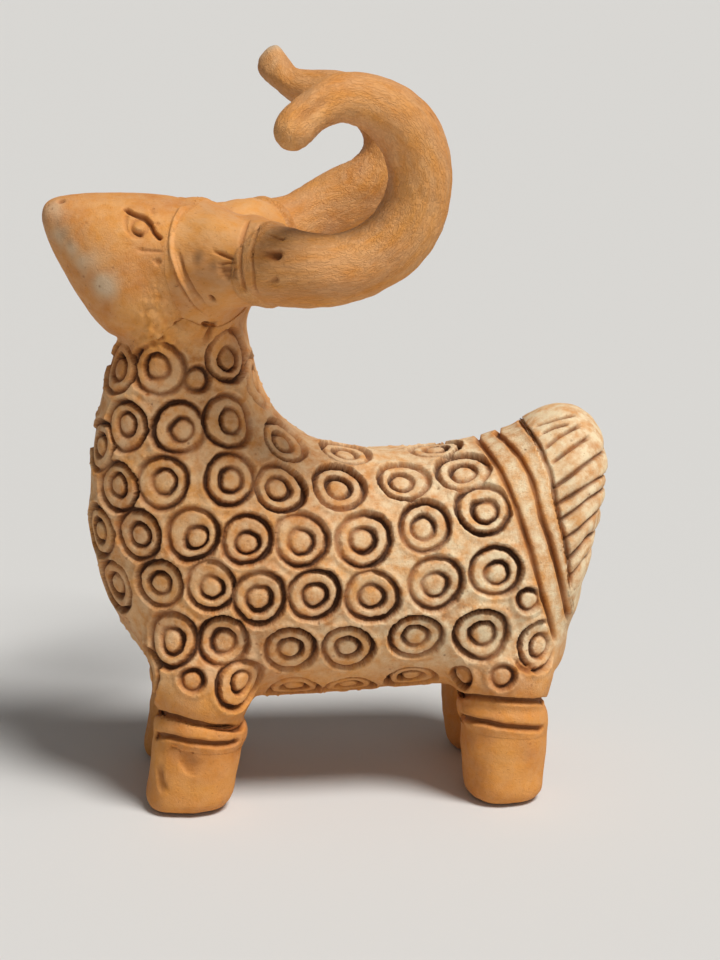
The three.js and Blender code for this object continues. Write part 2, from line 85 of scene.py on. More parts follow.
SIDES = ("left", "right")
HORNS = tuple(f"{side}_horn" for side in SIDES)
LEGS = [f"{end}_{side}" for end in ("front", "hind") for side in SIDES]

# How far each kind of piece is rubbed smooth, as a blur width.
SMOOTHING = {"body": 2.0, "tail": 1.0, "head": 1.4, "horn": 1.3, "collar": 0.25, "leg": 0.9, "anklet": 0.6}

# How far a piece or a kind of piece is pressed in, or swollen if that is negative.
INSETS = {"collar": 0.12, "anklet": 0.5, "left_horn": -0.22}

# How far a thin coil of clay goes down into the piece that it is laid on.
ROOTING = {"collar": 0.5, "anklet": 0.8}

# How pieces are pushed up or down by hand: places along the figurine, the lift there below and above a span
# of heights, that span, and the heights between which the lift fades out. Corners are rounded a little.
ROUNDING = 1.5
NO_FADE = (140.0, 150.0)
JAW = ((-51.0, -44.0, -40.0, -36.0, -30.0, -25.0), (-1.1, -1.3, -2.0, -2.3, -2.3, 0.0), (0.0,) * 6,
       (89.0, 106.0), NO_FADE)
NEAR_ARM = ((-21.0, -17.7, -15.9, -14.0, -12.5, -9.1, -5.1, -1.2, 3.0, 7.0, 11.0),
            (0.0, 1.9, 1.9, 1.7, 1.2, 0.7, 0.2, 0.0, 0.0, 0.0, 0.0),
            (0.0, -0.5, -0.7, 0.5, 1.4, 1.7, 0.9, 0.4, 0.8, 0.9, 0.0), (91.0, 105.0), (111.0, 119.0))
NEAR_TIP = ((-11.3, -8.1, -5.0, -2.2, 1.4, 4.5, 7.7, 11.0, 14.0, 18.0, 21.0), (0.0,) * 11,
            (-0.9, -1.1, -0.2, 0.1, 0.1, 0.0, 0.2, 0.6, 0.8, 0.4, 0.0), (107.0, 112.0), NO_FADE)
FAR_ARM = ((-6.0, -3.4, 0.4, 4.3, 8.1, 12.0, 17.0), (0.0, 0.0, -0.3, -0.9, -1.3, -0.9, 0.0),
           (0.0, 0.9, 2.2, 3.8, 4.3, 2.4, 0.0), (95.0, 105.0), (108.0, 124.0))
FAR_TIP = ((-6.0, -4.6, -3.3, -0.8, 3.0), (0.0,) * 5, (2.0, 1.3, 0.2, -0.3, 0.0), (111.0, 118.0), NO_FADE)
PUSHES = {"head": [JAW], "left_horn": [NEAR_ARM, NEAR_TIP], "left_horn_collar": [NEAR_ARM],
          "right_horn": [FAR_ARM, FAR_TIP]}

# The far horn's tip is also pushed along the figurine: heights, the way there in front of and behind a span
# of places, and that span.
HEEL = ((117.0, 122.0, 126.5, 130.5, 134.0), (0.0, -1.2, -2.2, -1.0, 0.0), (0.0,) * 5, (-6.0, 1.0), NO_FADE)
SIDE_PUSHES = {"right_horn": HEEL}

# Which pieces are luted together, and how wide the clay is smeared over the joint.
JOINTS = [("body", "tail", 4.0), ("body", "head", 7.0), (*HORNS, 3.0)]
JOINTS += [("body", horn, 4.0) for horn in HORNS]
JOINTS += [("head", horn, 3.4) for horn in HORNS]
JOINTS += [(f"{side}_horn", f"{side}_horn_collar", 1.4) for side in SIDES]
JOINTS += [("body", f"{leg}_anklet", 3.2) for leg in LEGS]
JOINTS += [(f"{leg}_leg", f"{leg}_anklet", 3.2) for leg in LEGS]
JOINTS += [("body", f"{leg}_leg", 3.2) for leg in LEGS]

# Under the chin the head's joint stays a crease: it is smeared over only behind these places.
CHIN_CREASE = 1.4
CHIN_FRONT, CHIN_BACK = -39.0, -31.0

# The undersides of the horns' roots are smeared over more widely, by this share below these heights.
ROOT_SMEAR = 0.9
ROOT_HEIGHTS = (100.0, 108.0)

# Joints that stay open lines, and how much dirt they hold.
OPEN_JOINTS = {HORNS: 0.3}

# The rough clay over the neck's joint: how far from the other piece it begins and is full, how far it is
# sunk, and its lumps, folds and crumbs. Roughness is a height, a size and a seed.
SMEAR_REACH = (8.0, 2.0)
SMEAR_SINK = 0.2
SMEAR_LUMPS = (0.35, 3.0, 41)
SMEAR_FOLDS = (0.6, 1.6, 42)
SMEAR_CRUMBS = (0.3, 0.8, 43)

# The photograph's camera: a 720 x 960 frame in which the target point shows at the target pixel.
PHOTO_WIDTH, PHOTO_HEIGHT = 720, 960
FOCAL_PIXELS = 2475.0
AZIMUTH, ELEVATION, DISTANCE = math.radians(-5), math.radians(14), 450.0
TARGET = np.array([0.0, 0.0, 63.5])
TARGET_PIXEL = (330.0, 445.0)
BACK = np.array([math.sin(AZIMUTH) * math.cos(ELEVATION), -math.cos(AZIMUTH) * math.cos(ELEVATION),
                 math.sin(ELEVATION)])
RIGHT = np.array([math.cos(AZIMUTH), math.sin(AZIMUTH), 0.0])
UP = np.cross(BACK, RIGHT)
EYE = TARGET + BACK * DISTANCE

# Lines of sight: how far in front of the target they start, how many steps they take and how much of the
# distance each takes, how near is a hit, and how near is a pass by the edge and how far past that it ends.
TRACE_ROOM = 90.0
TRACE_STEPS = 60
TRACE_SHARE = 0.8
TRACE_HIT = 0.02
TRACE_PASS = 0.6
TRACE_PAST = 0.05

# Pixels that miss a solid are drawn in to the figurine's middle, step by step. Lines have a point every step.
FIGURE_PIXEL = np.array([300.0, 520.0])
PIXEL_STEP = 2
PIXEL_TRIES = 30


def sight(x, y):
    """The direction from the camera through a pixel of the photograph."""
    across = (x - TARGET_PIXEL[0]) / FOCAL_PIXELS
    down = (y - TARGET_PIXEL[1]) / FOCAL_PIXELS
    line = -BACK + RIGHT * across - UP * down
    return line / np.linalg.norm(line)


# Fields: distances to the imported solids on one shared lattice.

def kind_of(name):
    """The kind of piece that a node is, such as horn or leg."""
    return name.split("_")[-1]


def cad_arrays(name):
    """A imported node's points in millimetres and its triangles."""
    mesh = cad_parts[name].data
    mesh.calc_loop_triangles()
    points = np.empty(len(mesh.vertices) * 3, np.float32)
    mesh.vertices.foreach_get("co", points)
    triangles = np.empty(len(mesh.loop_triangles) * 3, np.int32)
    mesh.loop_triangles.foreach_get("vertices", triangles)
    return points.reshape(-1, 3) / MM, triangles.reshape(-1, 3).astype(np.uint32)


def blurred(values, width):
    """A Gaussian blur of a lattice, one axis after another."""
    reach = math.ceil(2.5 * width / VOXEL)
    weights = np.exp(-0.5 * (np.arange(-reach, reach + 1) * VOXEL / width) ** 2)
    weights /= weights.sum()
    for axis in range(3):
        margin = [(reach, reach) if a == axis else (0, 0) for a in range(3)]
        padded = np.pad(values, margin, mode="edge")
        total = np.zeros_like(values)
        for i, weight in enumerate(weights.astype(np.float32)):
            part = [slice(None)] * 3
            part[axis] = slice(i, i + values.shape[axis])
            total += weight * padded[tuple(part)]
        values = total
    return values


def node_field(name):
    """The lowest lattice point and the rubbed-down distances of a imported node."""
    points, triangles = CAD[name]
    grid = vdb.FloatGrid.createLevelSetFromPolygons(
        points.astype(np.float32), triangles=triangles,
        transform=vdb.createLinearTransform(VOXEL), halfWidth=BAND / VOXEL)
    room = BODY_PAD if name == "body" else PAD
    low = np.floor((points.min(0) - room) / VOXEL).astype(int)
    high = np.ceil((points.max(0) + room) / VOXEL).astype(int)
    values = np.empty(tuple(high - low), np.float32)
    grid.copyToArray(values, ijk=tuple(int(v) for v in low))
    kind = kind_of(name)
    values = blurred(values, SMOOTHING[kind]) + INSETS.get(name, INSETS.get(kind, 0.0))
    for push in PUSHES.get(name, []):
        values = lifted(low, values, push)
    if name in SIDE_PUSHES:
        values = lifted(low[::-1], values.swapaxes(0, 2), SIDE_PUSHES[name]).swapaxes(0, 2)
    return low, np.ascontiguousarray(values)


def rounded(lifts):
    """A row of lifts on the lattice with its corners rounded."""
    reach = round(ROUNDING / VOXEL)
    weights = np.hanning(2 * reach + 3)[1:-1]
    return np.convolve(np.pad(lifts, reach, mode="edge"), weights / weights.sum(), "valid")


def lifted(low, values, push):
    """A lattice whose columns along the last axis are pushed up or down."""
    places, below, above, (bottom, top), fade = push
    along = (low[0] + np.arange(values.shape[0])) * VOXEL
    steps = np.arange(values.shape[2])
    heights = (low[2] + steps) * VOXEL
    upper = np.clip((heights - bottom) / (top - bottom), 0, 1)
    share = 1 - ramp(heights, *fade)
    below = rounded(np.interp(along, places, below))
    above = rounded(np.interp(along, places, above))
    out = np.empty_like(values)
    for i in range(len(along)):
        lift = (below[i] + (above[i] - below[i]) * upper) * share
        place = np.clip(steps - lift / VOXEL, 0, len(steps) - 1.001)
        cell = place.astype(int)
        over = (place - cell).astype(np.float32)
        out[i] = values[i][:, cell] * (1 - over) + values[i][:, cell + 1] * over
    return out


def in_window(field, low, shape):
    """Another node's distances on a window of the lattice; far away they are the band's width."""
    other_low, values = field
    out = np.full(shape, BAND, np.float32)
    start = np.maximum(low, other_low)
    stop = np.minimum(low + shape, other_low + values.shape)
    if (start < stop).all():
        inner = tuple(slice(a, b) for a, b in zip(start - low, stop - low))
        outer = tuple(slice(a, b) for a, b in zip(start - other_low, stop - other_low))
        out[inner] = values[outer]
    return out


def smooth_min(a, b, width):
    """The nearer of two distances, with a fillet of clay where they are alike."""
    near = np.maximum(width - np.abs(a - b), 0) / width
    return np.minimum(a, b) - near * near * width / 4


def neighbours(name):
    """The pieces that a piece is luted to, with the width of each joint."""
    return [(b if name == a else a, width) for a, b, width in JOINTS if name in (a, b)]


def joint_width(name, other, width, along, height):
    """How wide a joint is smeared, at places along the figurine and heights."""
    if {name, other} == {"body", "head"}:
        return CHIN_CREASE + (width - CHIN_CREASE) * ramp(along, CHIN_FRONT, CHIN_BACK) + 0 * height
    if {name, other} & {"body", "head"} and {name, other} & set(HORNS):
        return width * (1 + ROOT_SMEAR * (1 - ramp(height, *ROOT_HEIGHTS))) + 0 * along
    return width + 0 * along + 0 * height


def between(low, values, points, far):
    """A lattice's values at points, worked out from the eight lattice points round each."""
    place = points / VOXEL - low
    cell = np.floor(place).astype(int)
    inside = ((cell >= 0) & (cell < np.array(values.shape) - 1)).all(1)
    cell = cell[inside]
    share = place[inside] - cell
    total = np.zeros(len(cell))
    for corner in np.ndindex(2, 2, 2):
        step = np.array(corner)
        i, j, k = (cell + step).T
        total += np.prod(np.where(step, share, 1 - share), axis=1) * values[i, j, k]
    out = np.full(len(points), float(far))
    out[inside] = total
    return out


def field_at(name, points):
    """A node's distance at each point."""
    return between(*FIELDS[name], points, BAND)


def piece_surface(name):
    """The piece's share of the fused clay: points, outward quads and which quads lie inside a joint."""
    low, own = FIELDS[name]
    shape = np.array(own.shape)
    along = ((low[0] + np.arange(shape[0])) * VOXEL)[:, None, None]
    height = ((low[2] + np.arange(shape[2])) * VOXEL)[None, None, :]
    fused = own
    limit = np.full(own.shape, -BAND, np.float32)
    for other_name, width in neighbours(name):
        other = in_window(FIELDS[other_name], low, shape)
        width = joint_width(name, other_name, width, along, height)
        fused = smooth_min(fused, other, width.astype(np.float32))
        rooting = ROOTING.get(kind_of(other_name), 0.0) - ROOTING.get(kind_of(name), 0.0)
        limit = np.maximum(limit, (own - other + rooting) / 2 - OVERLAP)
    grid = vdb.FloatGrid(BAND)
    grid.transform = vdb.createLinearTransform(VOXEL)
    grid.copyFromArray(np.maximum(fused, limit), ijk=tuple(int(v) for v in low))
    points, quads = grid.convertToQuads()
    points = points.astype(float)
    a, b, c = (points[quads[:, i]] for i in range(3))
    if np.einsum("ij,ij->i", a, np.cross(b, c)).sum() < 0:
        quads = quads[:, ::-1]
    middles = points[quads].mean(1)
    depth = between(low, fused, middles, BAND) - between(low, limit, middles, -BAND)
    inner = depth < INNER_DEPTH * VOXEL
    rim = np.intersect1d(quads[inner], quads[~inner])
    points[rim] = on_rim(low, fused, limit, points[rim])
    return points, quads, inner


def slopes(low, values, points, far):
    """A lattice's values at points and the way that they grow there."""
    slope = [between(low, values, points + step, far) - between(low, values, points - step, far)
             for step in VOXEL * np.eye(3)]
    return between(low, values, points, far), np.stack(slope, 1) / (2 * VOXEL)


def on_rim(low, fused, limit, points):
    """Points near a joint's edge, moved to where the clay's surface meets the face inside the joint."""
    start = points
    for _ in range(RIM_TIMES):
        f, f_slope = slopes(low, fused, points, BAND)
        g, g_slope = slopes(low, limit, points, -BAND)
        ff = np.maximum((f_slope * f_slope).sum(1), 1e-6)
        gg = np.maximum((g_slope * g_slope).sum(1), 1e-6)
        fg = (f_slope * g_slope).sum(1)
        room = np.maximum(ff * gg - fg * fg, 0.05 * ff * gg)
        points = points - (f_slope * ((gg * f - fg * g) / room)[:, None]
                           + g_slope * ((ff * g - fg * f) / room)[:, None])
    off = np.abs(between(low, fused, points, BAND)) + np.abs(between(low, limit, points, -BAND))
    far = (np.linalg.norm(points - start, axis=1) > RIM_REACH * VOXEL) | (off > RIM_MISS * VOXEL)
    return np.where(far[:, None], start, points)


def clay_at(points):
    """The distance of each point from the surface of all the clay."""
    own = {name: field_at(name, points) for name in FIELDS}
    nearest = np.argmin(list(own.values()), axis=0)
    out = np.empty(len(points))
    for i, name in enumerate(own):
        mine = nearest == i
        fused = own[name][mine]
        for other, width in neighbours(name):
            fused = smooth_min(fused, own[other][mine],
                               joint_width(name, other, width, points[mine, 0], points[mine, 2]))
        out[mine] = fused
    return out


def clay_normal(points):
    """The direction out of the clay at each point."""
    steps = SLOPE_STEP * np.eye(3)
    slope = np.stack([clay_at(points + step) - clay_at(points - step) for step in steps], 1)
    return slope / np.maximum(np.linalg.norm(slope, axis=1), 1e-9)[:, None]


def settled(points):
    """Points moved on to the surface of the clay."""
    for _ in range(SETTLE_TIMES):
        points = points - clay_at(points)[:, None] * clay_normal(points)
    return points


def clear_of(name, points, others=None):
    """0 on the edge of a piece's joints, 1 a little way off."""
    clear = np.ones(len(points))
    for other, width in neighbours(name):
        if others is None or other in others:
            edge = joint_width(name, other, width, points[:, 0], points[:, 2]) / 4
            clear *= ramp(field_at(other, points) - edge, 0.0, JOINT_FADE)
    return clear


def smeared(name, points, other):
    """The rough clay that is smeared over the joint of the head and the neck."""
    cover = ramp(field_at(other, points), *SMEAR_REACH) * clear_of(name, points, HORNS)
    cover *= ramp(points[:, 0], CHIN_FRONT, CHIN_BACK)
    folds = np.abs(rough(points, *SMEAR_FOLDS))
    return cover * (rough(points, *SMEAR_LUMPS) + folds - SMEAR_SINK + rough(points, *SMEAR_CRUMBS))


def outer_normals(points, quads, inner):
    """Each point's direction out of the clay, and whether it shows.

    Faces inside a joint count only where there are no others.
    """
    faces = np.cross(points[quads[:, 2]] - points[quads[:, 0]], points[quads[:, 3]] - points[quads[:, 1]])
    total = np.zeros_like(points)
    outside = np.zeros_like(points)
    for corner in quads.T:
        for axis in range(3):
            total[:, axis] += np.bincount(corner, faces[:, axis], len(points))
            outside[:, axis] += np.bincount(corner[~inner], faces[~inner, axis], len(points))
    shows = np.linalg.norm(outside, axis=1) > 1e-9
    normals = np.where(shows[:, None], outside, total)
    return normals / np.maximum(np.linalg.norm(normals, axis=1), 1e-12)[:, None], shows


# Noise, laid out on a lattice that is turned out of the figurine's own directions.
TURN = np.array(Euler((0.6, 0.5, 0.7)).to_matrix())
ORIGIN = 1000.0

# Odd numbers that mix a cell's place into a random one, with the shifts between them.
WORD = np.uint64(0xFFFFFFFF)
AXIS_FACTORS = np.array([374761393, 668265263, 2246822519], np.uint64)
SEED_FACTOR = 3266489917
MIXING = [(np.uint64(15), np.uint64(2654435761)), (np.uint64(13), np.uint64(1274126177))]
LAST_SHIFT = np.uint64(16)


def lattice_value(cell, seed):
    """A repeatable random number from 0 to 1 for each lattice cell."""
    mixed = (cell.astype(np.uint64) * AXIS_FACTORS).sum(1) + np.uint64(seed * SEED_FACTOR) & WORD
    for shift, factor in MIXING:
        mixed = (mixed ^ (mixed >> shift)) * factor & WORD
    return (mixed ^ (mixed >> LAST_SHIFT)).astype(float) / float(WORD)


def noise(points, size, seed):
    """Smooth noise from -1 to 1 with features of a size."""
    scaled = points @ TURN / size + ORIGIN
    cell = np.floor(scaled)
    share = scaled - cell
    share = share * share * (3 - 2 * share)
    total = np.zeros(len(points))
    for corner in np.ndindex(2, 2, 2):
        step = np.array(corner)
        weight = np.prod(np.where(step, share, 1 - share), axis=1)
        total += weight * lattice_value(cell + step, seed)
    return total * 2 - 1


def rough(points, height, size, seed):
    """Noise of a height."""
    return height * noise(points, size, seed)


def uneven(points, sizes):
    """Noise of several heights and sizes together."""
    return sum(rough(points, *size) for size in sizes)


def ramp(values, start, stop):
    """0 at start, 1 at stop, eased between them."""
    share = np.clip((values - start) / (stop - start), 0, 1)
    return share * share * (3 - 2 * share)


# Lines and marks that are placed by pixels of the photograph.

# A cut's fall at its sides, its reach in half widths, the unevenness of its width and depth, and the share of
# depth and width with which a gouge starts.
CUT_FALL = 0.9
CUT_REACH = 1.8
CUT_WIDTHS = (0.25, 1.8, 81)
CUT_DEPTHS = (0.25, 4.0, 82)
GOUGE_DEPTH = 0.15
GOUGE_WIDTH = 0.45

# How many points are left out where a groove round a leg ends.
GIRDLE_GAP = 4


def cast(tree, x, y):
    """Where the line of sight through a pixel meets a surface, drawn in from the edge if it misses."""
    pixel = np.array([x, y], float)
    for _ in range(PIXEL_TRIES):
        hit = tree.ray_cast(Vector(EYE), Vector(sight(*pixel)))
        if hit[0] is not None:
            return np.array(hit[0])
        inward = FIGURE_PIXEL - pixel
        pixel += inward / np.linalg.norm(inward) * PIXEL_STEP
    raise ValueError(f"pixel {x}, {y} misses the surface")


def drawn(pixels):
    """A line of pixels, filled in to about a step apart."""
    out = []
    for (x0, y0), (x1, y1) in zip(pixels[:-1], pixels[1:]):
        steps = max(1, round(math.hypot(x1 - x0, y1 - y0) / PIXEL_STEP))
        out += [(x0 + (x1 - x0) * i / steps, y0 + (y1 - y0) * i / steps) for i in range(steps)]
    return [*out, pixels[-1]]


def traced(pixels):
    """Where the lines of sight through pixels meet the clay, or pass nearest to its edge."""
    lines = np.array([sight(x, y) for x, y in pixels])
    reach = np.full(len(lines), DISTANCE - TRACE_ROOM)
    best = reach.copy()
    least = np.full(len(lines), np.inf)
    done = np.zeros(len(lines), bool)
    for _ in range(TRACE_STEPS):
        away = clay_at(EYE + lines * reach[:, None])
        done |= (np.abs(away) < TRACE_HIT) | ((away > least + TRACE_PAST) & (least < TRACE_PASS))
        nearer = (np.abs(away) < least) & ~done
        best[nearer] = reach[nearer]
        least[nearer] = np.abs(away[nearer])
        reach = np.where(done, reach, reach + TRACE_SHARE * away)
    return EYE + lines * best[:, None]


def mirrored_on(tree, line):
    """The line on the animal's other side, laid on the surface there."""
    far = np.array([tree.find_nearest(Vector((x, 2 * MIDDLE_Y - y, z)))[0] for x, y, z in line])
    return averaged(far, 3)


def averaged(line, times):
    """A line whose points are drawn towards their neighbours."""
    line = line.copy()
    for _ in range(times):
        line[1:-1] = (line[:-2] + line[1:-1] + line[2:]) / 3
    return line


def girdle(leg, line):
    """A line across the near side of a leg, carried on round its hidden side."""
    middle = (leg[:, 1].min() + leg[:, 1].max()) / 2
    behind = line[::-1] * (1, -1, 1) + (0, 2 * middle, 0)
    return np.concatenate([line, behind[:-GIRDLE_GAP]])


def line_distance(points, line):
    """Each point's distance from a line, and the share of the line's length where that is."""
    lengths = np.concatenate([[0], np.cumsum(np.linalg.norm(np.diff(line, axis=0), axis=1))])
    best = np.full(len(points), np.inf)
    share = np.zeros(len(points))
    for i, (a, b) in enumerate(zip(line[:-1], line[1:])):
        span = b - a
        along = np.clip((points - a) @ span / max(span @ span, 1e-9), 0, 1)
        away = np.linalg.norm(points - a - along[:, None] * span, axis=1)
        nearer = away < best
        best[nearer] = away[nearer]
        share[nearer] = (lengths[i] + along * (lengths[i + 1] - lengths[i]))[nearer]
    share /= max(lengths[-1], 1e-9)
    return best, share


def cut(points, line, half_width, depth, fade, kind="line"):
    """The height of a groove, or of a ridge if the depth is negative.

    A line fades out at its ends; a gouge starts thin and shallow and ends wide and deep.
    """
    height = np.zeros(len(points))
    reach = half_width * CUT_REACH
    near = ((points > line.min(0) - reach) & (points < line.max(0) + reach)).all(1)
    if not near.any():
        return height
    close = points[near]
    away, share = line_distance(close, line)
    if kind == "gouge":
        ends = GOUGE_DEPTH + (1 - GOUGE_DEPTH) * share
        half_width = half_width * (GOUGE_WIDTH + (1 - GOUGE_WIDTH) * share)
    else:
        ends = np.clip(np.minimum(share, 1 - share) / fade, 0, 1) if fade else 1.0
    half_width = half_width * (1 + rough(close, *CUT_WIDTHS))
    deeper = 1 + rough(close, *CUT_DEPTHS)
    height[near] = -depth * ends * deeper * np.exp(-(away / half_width) ** 4 * CUT_FALL)
    return height


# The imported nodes, their fields and the plane between the animal's sides.

CAD = {name: cad_arrays(name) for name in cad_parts}
FIELDS = {name: node_field(name) for name in CAD}
MIDDLE_Y = (CAD["body"][0][:, 1].min() + CAD["body"][0][:, 1].max()) / 2


def tree_of(names):
    """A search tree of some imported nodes' surfaces together."""
    points, triangles, count = [], [], 0
    for name in names:
        points.append(CAD[name][0])
        triangles.append(CAD[name][1].astype(int) + count)
        count += len(CAD[name][0])
    return BVHTree.FromPolygons(np.concatenate(points).tolist(), np.concatenate(triangles).tolist())


TREES = {name: tree_of([name]) for name in CAD}

# Ring stamps: each ring's middle and how far its dot lies from that, in pixels.
RING_STAMPS = [
    (119, 368, 0, 0), (158, 369, -2, -2), (229, 356, 2, 3), (98, 445, 0, 0), (125, 426, 0, -2),
    (178, 428, 4, 2), (229, 421, 5, -1), (283, 442, 0, 0), (117, 487, -1, -2), (161, 483, 2, -1),
    (231, 479, 1, 1), (280, 488, -1, 0), (339, 486, 0, 0), (403, 481, -2, 1), (462, 470, 1, 1),
    (98, 531, 0, 0), (137, 535, 1, 1), (192, 535, 5, 4), (247, 540, 1, 4), (301, 540, 0, 2),
    (364, 540, -1, 0), (425, 526, -2, 1), (483, 509, 2, 2), (118, 584, 0, 0), (158, 585, 0, 0),
    (210, 587, 1, 2), (259, 599, 0, 1), (314, 596, 1, 1), (372, 597, 0, 1), (436, 584, 0, 2),
    (496, 572, 2, 2), (170, 640, 0, 1), (223, 641, 1, 1), (290, 651, 0, 0), (348, 650, 0, 0),
    (416, 638, 0, 0), (481, 634, 2, 1), (541, 646, 1, 1), (241, 685, 4, -2), (294, 688, 0, 0),
    (349, 685, 0, 0), (411, 676, 0, 0), (345, 452, 0, 0), (435, 447, 0, 0),
]
DOT_STAMPS = [(197, 379, 0, 0), (192, 681, 0, 0), (530, 601, 0, 0), (462, 677, 0, 0), (503, 678, 0, 0)]

# How far apart stamps are, and the share of that beside a small one.
STAMP_SPACING = 9.4
DOT_ROOM = 0.72

# How much stamps differ in size and depth.
STAMP_SIZES = (0.96, 1.05)
STAMP_DEPTHS = (1.0, 1.35)

# Stamps out of sight: how many places are tried, between which heights, how far in front of the girth, how
# far down and how far towards the camera they may face, how strong they are and how far off their dots lie.
HIDDEN_TRIES = 6000
HIDDEN_HEIGHTS = (24.0, 79.0)
HIDDEN_FRONT = 6.0
HIDDEN_DOWN = -0.6
HIDDEN_FACING = 0.25
HIDDEN_STRENGTH = 0.7
HIDDEN_DOT = 0.25

# Radii in a ring stamp: its outer trench, the ring between the trenches, its inner trench and its dot, and
# half of each trench's width.
OUTER_TRENCH = 4.45
RING_CREST = 3.3
INNER_TRENCH = 2.1
DOT_EDGE = 1.75
OUTER_HALF = 0.62
INNER_HALF = 0.52

# A small stamp, drawn at this scale: its trench, half the trench's width, its dot and its share of the depth.
DOT_SCALE = 0.5
DOT_TRENCH = 4.0
SMALL_HALF = 1.1
SMALL_DOT = 3.4
SMALL_DEPTH = 0.9

# How far the dots and the ring lie below the clay, and how much further at their edges.
DOT_SINK, DOT_ROUND = 0.1, 0.45
SMALL_ROUND = 0.4
RING_SINK, RING_ROUND = 0.05, 0.45

# Round a stamp: how far it reaches, how far from facing it the clay may be, the radii between which its dot's
# shift ends, how it is out of round, how much deeper it is on one side, its wear and its edges' wobble.
STAMP_REACH = 7.0
STAMP_FACING = 0.2
DOT_SHIFT = (2.3, 3.3)
OVALS = [(2, 0.03), (3, 0.02)]
TILT = 0.35
WEAR = (0.25, 3.0, 33)
WOBBLES = [(0.13, 1.6, 31), (0.11, 0.7, 32)]

# The clay pushed up round a stamp: its radius and width, its height by the stamp's depth up to a depth, its
# greatest height, its crumbs and the noise between which they rise, and the margin where the last stamp wins.
LIP_RADIUS, LIP_WIDTH = 5.35, 0.6
LIP_HEIGHT, LIP_DEPTH, LIP_LIMIT = 0.3, 1.2, 0.5
CRUMB_SIZE, CRUMB_SEED, CRUMB_HEIGHT = 0.8, 34, 0.2
CRUMB_LEVELS = (0.3, 0.8)
OVER_MARGIN = 0.2

# The ring attribute where there is no stamp.
NO_STAMP = 9.0

# The lines round the rump and the tail's joint, from the top down.
GIRTH_LINES = [
    [(476, 438), (486, 449), (498, 467), (508, 487), (516, 507), (523, 527), (530, 548), (538, 576),
     (545, 602), (551, 620), (557, 645)],
    [(495, 431), (508, 443), (520, 457), (530, 475), (536, 493), (542, 519), (549, 536), (555, 558),
     (561, 580), (565, 597), (568, 610), (570, 622)],
]
TAIL_JOINT = [
    (522, 424), (530, 432), (539, 445), (545, 460), (551, 474), (554, 489), (557, 505), (560, 517),
    (563, 529), (567, 544), (569, 559), (571, 576), (572, 591),
]
GIRTH = traced(drawn(GIRTH_LINES[0]))


def girth_x(z):
    """Where the first girth line runs, as x at a height on the rump."""
    order = np.argsort(GIRTH[:, 2])
    return np.interp(z, GIRTH[order, 2], GIRTH[order, 0])


def make_stamps():
    """Stamps read from the photograph, their likeness on the far side, and more in the places between."""
    tree = TREES["body"]
    flip = np.array([1.0, -1.0, 1.0])
    stamps = []

    def add(point, kind, dot, strength=1.0):
        scale = rng.uniform(*STAMP_SIZES) * (1.0 if kind == "ring" else DOT_SCALE)
        depth = rng.uniform(*STAMP_DEPTHS) * strength
        tilt = rng.uniform(0, 2 * math.pi)
        phases = rng.uniform(0, 2 * math.pi, len(OVALS))
        stamps.append({"centre": np.array(point), "kind": kind, "dot": dot, "scale": scale, "depth": depth,
                       "tilt": tilt, "phases": phases})

    def clear(point, room):
        return all(np.linalg.norm(point - s["centre"]) > room * (1 if s["kind"] == "ring" else DOT_ROOM)
                   for s in stamps)

    for kind, pixels in (("ring", RING_STAMPS), ("dot", DOT_STAMPS)):
        for x, y, right, down in pixels:
            add(cast(tree, x, y), kind, (RIGHT * right - UP * down) * DISTANCE / FOCAL_PIXELS)
    for seen in list(stamps):
        point = seen["centre"] * flip + (0, 2 * MIDDLE_Y, 0)
        if clear(point, STAMP_SPACING):
            add(point, seen["kind"], seen["dot"] * flip)
    points, triangles = CAD["body"]
    corners = points[triangles]
    area = np.linalg.norm(np.cross(corners[:, 1] - corners[:, 0], corners[:, 2] - corners[:, 0]), axis=1)
    chosen = rng.choice(len(triangles), HIDDEN_TRIES, p=area / area.sum())
    tried = np.einsum("ij,ijk->ik", rng.dirichlet((1, 1, 1), len(chosen)), corners[chosen])
    tried = settled(tried)
    normals = clay_normal(tried)
    for point, normal in zip(tried, normals):
        unseen = normal @ BACK < HIDDEN_FACING and normal[2] > HIDDEN_DOWN
        in_front = point[0] < girth_x(point[2]) - HIDDEN_FRONT
        if unseen and in_front and HIDDEN_HEIGHTS[0] < point[2] < HIDDEN_HEIGHTS[1]:
            if clear(point, STAMP_SPACING):
                add(point, "ring", rng.normal(0, HIDDEN_DOT, 3), HIDDEN_STRENGTH)
    centres = settled(np.array([s["centre"] for s in stamps]))
    for s, centre, normal in zip(stamps, centres, clay_normal(centres)):
        s["centre"], s["normal"] = centre, normal
    return stamps


def trench(r, middle, half_width):
    """The share of a trench's depth across it."""
    return np.clip(1 - np.abs((r - middle) / half_width) ** 2.5, 0, 1) ** 0.8


def stamp_profile(r, depth):
    """The height across a ring stamp of full size, from its middle outwards."""
    dot = -DOT_SINK - DOT_ROUND * np.clip(r / DOT_EDGE, 0, 1) ** 4
    ring = np.maximum(-RING_SINK - RING_ROUND * np.abs(r - RING_CREST) ** 3, -depth)
    land = np.where(r < INNER_TRENCH, dot, np.where(r < OUTER_TRENCH, ring, 0))
    cuts = np.maximum(trench(r, OUTER_TRENCH, OUTER_HALF), trench(r, INNER_TRENCH, INNER_HALF))
    return np.minimum(-depth * cuts, land)


def dot_profile(r, depth):
    """The height across a small stamp: one trench round a dot."""
    dot = -DOT_SINK - SMALL_ROUND * np.clip(r / SMALL_DOT, 0, 1) ** 4
    land = np.where(r < DOT_TRENCH, dot, 0)
    return np.minimum(-depth * trench(r, DOT_TRENCH, SMALL_HALF), land)


